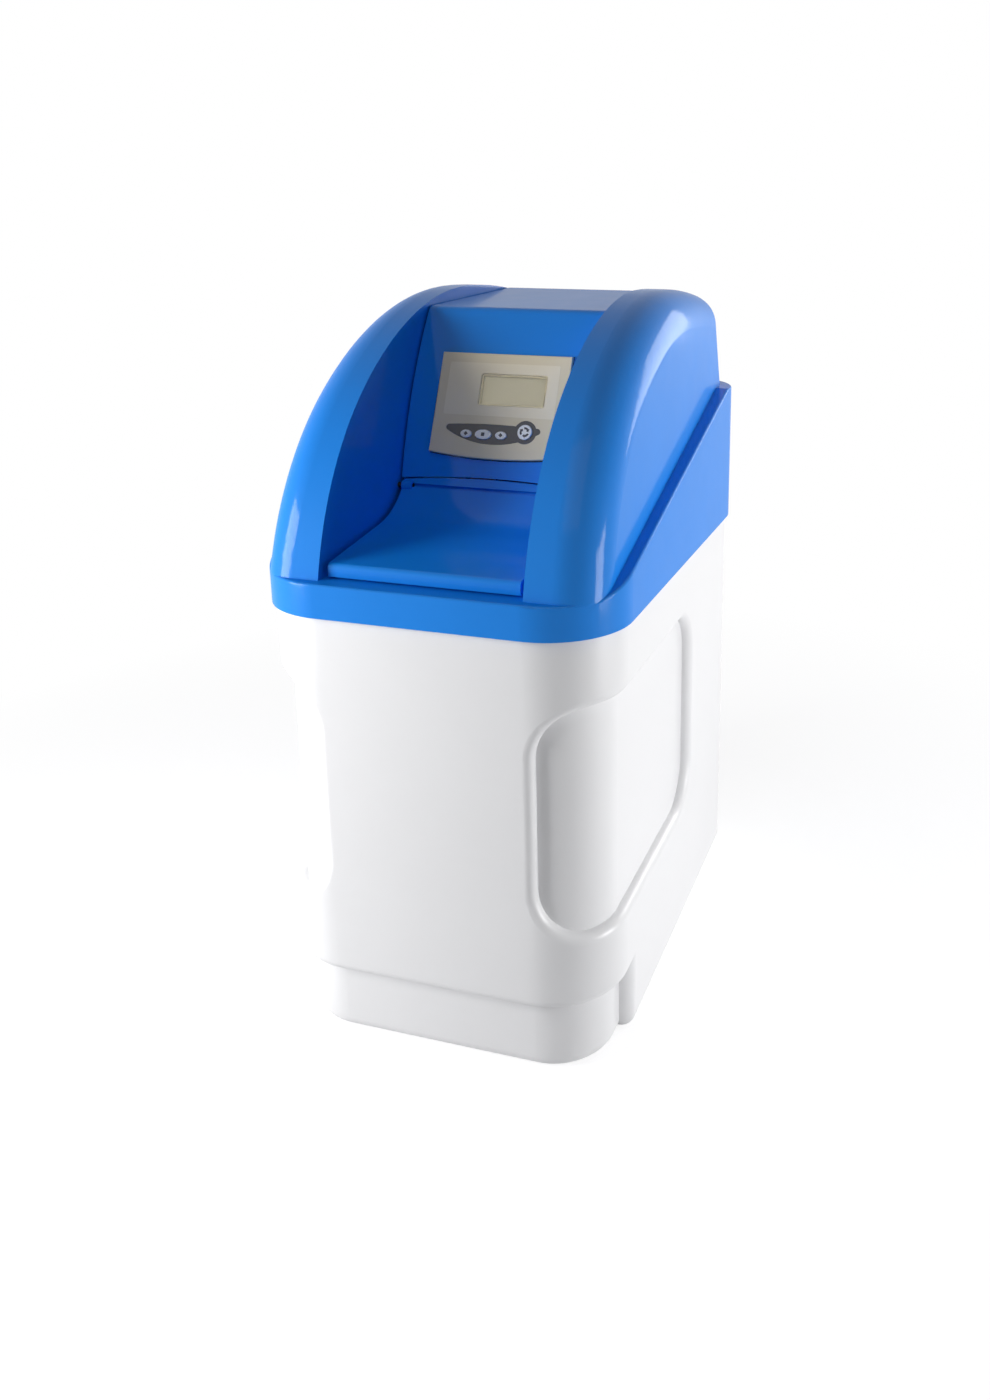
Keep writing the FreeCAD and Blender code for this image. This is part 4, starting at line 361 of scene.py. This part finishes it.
# The display: a clear lens, sunk into the faceplate, over a liquid crystal panel that
# is switched off, in its plain khaki grey.
clear, wire, shader = finish("clear_lens")
put(wire, shader, Base_Color=(0.95, 0.96, 0.92), Roughness=0.06 + 0.05 * noise(wire, 60.0),
    IOR=1.5, Transmission_Weight=1.0)
dress(clear, "display_window")
LCD = (0.50, 0.445, 0.32)
dress(moulded("liquid_crystal", LCD, rough=0.30, grain=3000.0, deep=0.00001, coat=0.2),
      "lcd_panel")

# The keypad: a dark crescent of printed film with four white buttons through it.
# The icons are printed: two diamonds, a square and a ring of three arrows.
KEYPAD, BUTTON, INK = (0.055, 0.056, 0.062), (0.90, 0.90, 0.87), (0.045, 0.045, 0.05)
dress(moulded("keypad_film", KEYPAD, rough=0.38, grain=1800.0, deep=0.00002, coat=0.1),
      "keypad_overlay")
dress(moulded("button_white", BUTTON, rough=0.30, grain=1200.0, deep=0.00002, coat=0.2),
      "button_down", "button_set", "button_up", "button_regen")
ink = moulded("icon_ink", INK, rough=0.45, grain=1500.0, deep=0.00001)


def arrow_ring(radius, width, steps=8):
    """Outlines of three bent arrows that chase each other round a ring."""
    outlines = []
    outer, inner = radius + width / 2, radius - width / 2
    sweep = math.radians(62)
    barb = width * 0.55
    for number in range(3):
        start = math.radians(120 * number + 100)
        angles = [start - sweep * step / steps for step in range(steps + 1)]
        tip = start - sweep - math.radians(36)
        head = [(outer + barb, angles[-1]), (radius, tip), (inner - barb, angles[-1])]
        around = [(outer, a) for a in angles] + head + [(inner, a) for a in reversed(angles)]
        outlines.append([(r * math.cos(a), r * math.sin(a)) for r, a in around])
    return outlines


TOP = FACE + 1.6  # the buttons' tops
DIAMOND = [(2.1, 0), (0, 2.1), (-2.1, 0), (0, -2.1)]
SQUARE = [(1.7, 1.7), (-1.7, 1.7), (-1.7, -1.7), (1.7, -1.7)]
ICONS = [  # button, across, up, outlines
    ("down", -27.2, 44.2, [DIAMOND]),
    ("set", -10.1, 44.2, [SQUARE]),
    ("up", 7.6, 44.2, [DIAMOND]),
    ("regen", 30.7, 48.5, arrow_ring(3.7, 1.9)),
]
for button, x, up, outlines in ICONS:
    for number, outline in enumerate(outlines):
        film(f"icon_{button}_{number + 1}", [(x + a, up + b) for a, b in outline],
             TOP - 0.02, TOP + 0.06, ink, f"button_{button}_body")

# Behind the panel: a green circuit board in a black housing with its power inlet, and
# an optical sensor that counts the camshaft's slots.
board, wire, shader = finish("solder_mask")
traces = wire.node("ShaderNodeTexVoronoi", {"feature": "DISTANCE_TO_EDGE"},
                   {"Vector": wire.place(), "Scale": 260.0}, out="Distance")
lines = (1 - traces * 18.0).clamp()
put(wire, shader, Base_Color=tint(wire, lines, (0.012, 0.10, 0.035), (0.02, 0.17, 0.06)),
    Roughness=0.32 + 0.1 * lines, Coat_Weight=0.3,
    Normal=bump(wire, lines, distance=0.00003, strength=0.5))
dress(board, "circuit_board")
nylon = moulded("black_nylon", (0.022, 0.022, 0.024), rough=0.42, grain=700.0, deep=0.00005)
dress(nylon, "controller_housing", "power_inlet", "optical_sensor")

# The drive: a zinc-cased gear motor whose acetal pinion turns the camshaft's wheel.
# Six cams on the shaft press the levers of the valve discs.
dress(plated("motor_case", ZINC, rough=0.30, stretch=(0.3, 1.0, 0.3)), "gear_motor")
acetal = moulded("acetal", (0.78, 0.77, 0.70), rough=0.34, grain=900.0, deep=0.00002, coat=0.1)
dress(acetal, "motor_pinion", "cam_drive_gear", "camshaft", "flow_turbine",
      *(f"valve_disc_{number}" for number in range(1, 7)))
dress(plated("lever_pin", ZINC, rough=0.22, stretch=ALONG_Y), "disc_pivot_pin")


# The valve and bypass: glass-filled black and grey mouldings, in which the short fibres
# show as pale streaks, with white rotors for the bypass handles.
def filled(name, colour, pale):
    """Glass-filled plastic with short pale fibres at its surface."""
    material, wire, shader = finish(name)
    streaks = noise(wire, 700.0, 1.0, 0.5, (1.0, 0.15, 1.0))
    fibres = wire.math("GREATER_THAN", streaks, 0.66)
    ground = tint(wire, noise(wire, 30.0), colour, darker(colour, 0.85))
    put(wire, shader, Base_Color=tint(wire, fibres * 0.5, ground, pale),
        Roughness=0.45 + 0.12 * noise(wire, 150.0), IOR=1.5,
        Normal=bump(wire, noise(wire, 600.0), distance=0.00005, strength=0.5))
    return material


black_filled = filled("black_glass_filled", (0.020, 0.020, 0.022), (0.09, 0.09, 0.09))
grey_filled = filled("grey_glass_filled", (0.20, 0.21, 0.22), (0.36, 0.36, 0.36))
dress(black_filled, "valve_body", "bypass_body", "tank_adapter", "inlet_connector",
      "outlet_connector", "tank_boot")
dress(grey_filled, "valve_top_plate", "connector_nuts", "brine_fitting", "drain_fitting",
      "injector_cap", "overflow_elbow", "overflow_nut")
dress(moulded("rotor_white", (0.74, 0.74, 0.72), rough=0.35, grain=700.0),
      "bypass_rotor_inlet", "bypass_rotor_outlet")

# The seals on the tank, the connectors and the overflow: moulded in black EPDM rubber,
# matt, with a bloom of paler dust.
rubber, wire, shader = finish("black_rubber")
bloom = noise(wire, 120.0)
put(wire, shader, Base_Color=tint(wire, bloom, (0.012, 0.012, 0.012), (0.04, 0.04, 0.042)),
    Roughness=0.62 + 0.2 * bloom,
    Normal=bump(wire, noise(wire, 1500.0), distance=0.00003, strength=0.6))
dress(rubber, "tank_oring", "connector_seals", "overflow_gasket")


# The resin tank: glass fibre wound over a blue-grey liner, whose bands cross, and the
# amber resin, riser and slotted baskets inside it.
def cells(wire, scale):
    """Round cells through the solid, with a scale in cells per metre."""
    return wire.node("ShaderNodeTexVoronoi", links={"Vector": wire.place(), "Scale": scale},
                     out="Distance")


WINDING = 34.0  # degrees that the bands lean, one way and then the other
wound, wire, shader = finish("wound_glass_fibre")
bands = []
for lean in (WINDING, -WINDING):
    turned = wire.node("ShaderNodeMapping", links={"Vector": wire.place(),
                                                   "Rotation": (math.radians(lean), 0.0, 0.0)})
    bands.append(wire.node("ShaderNodeTexWave", {"wave_type": "BANDS", "bands_direction": "Z"},
                           {"Vector": turned, "Scale": 55.0, "Distortion": 1.5, "Detail": 2.0},
                           out="Fac"))
weave = wire.math("MAXIMUM", *bands)
put(wire, shader, Base_Color=tint(wire, weave, (0.05, 0.10, 0.17), (0.16, 0.24, 0.33)),
    Roughness=0.34 + 0.1 * weave, Coat_Weight=0.3, Coat_Roughness=0.2,
    Normal=bump(wire, weave, distance=0.0003, strength=0.5))
dress(wound, "resin_tank")
beads, wire, shader = finish("resin_beads")
grains = cells(wire, 900.0)
put(wire, shader, Base_Color=tint(wire, grains, (0.50, 0.26, 0.07), (0.16, 0.07, 0.02)),
    Roughness=0.4 + 0.2 * grains, Normal=bump(wire, 1 - grains, distance=0.0005, strength=0.8))
dress(beads, "resin_bed")
dress(moulded("natural_polyethylene", (0.72, 0.72, 0.69), rough=0.40, patch=0.95),
      "riser_tube", "lower_distributor", "upper_distributor")

# The brine well: a white tube beside the tank with a cap, the float valve at its foot,
# its rod and foam float, and the brine line up to the valve.
dress(moulded("brine_white", (0.78, 0.78, 0.77), rough=0.38, grain=450.0),
      "brine_well", "brine_well_cap", "brine_valve", "float_rod", "brine_line")
foam, wire, shader = finish("float_foam")
pores = cells(wire, 1400.0)
put(wire, shader, Base_Color=tint(wire, pores, (0.55, 0.60, 0.64), (0.72, 0.75, 0.78)),
    Roughness=0.75 + 0.1 * pores, Normal=bump(wire, pores, distance=0.0002, strength=0.6))
dress(foam, "brine_float")
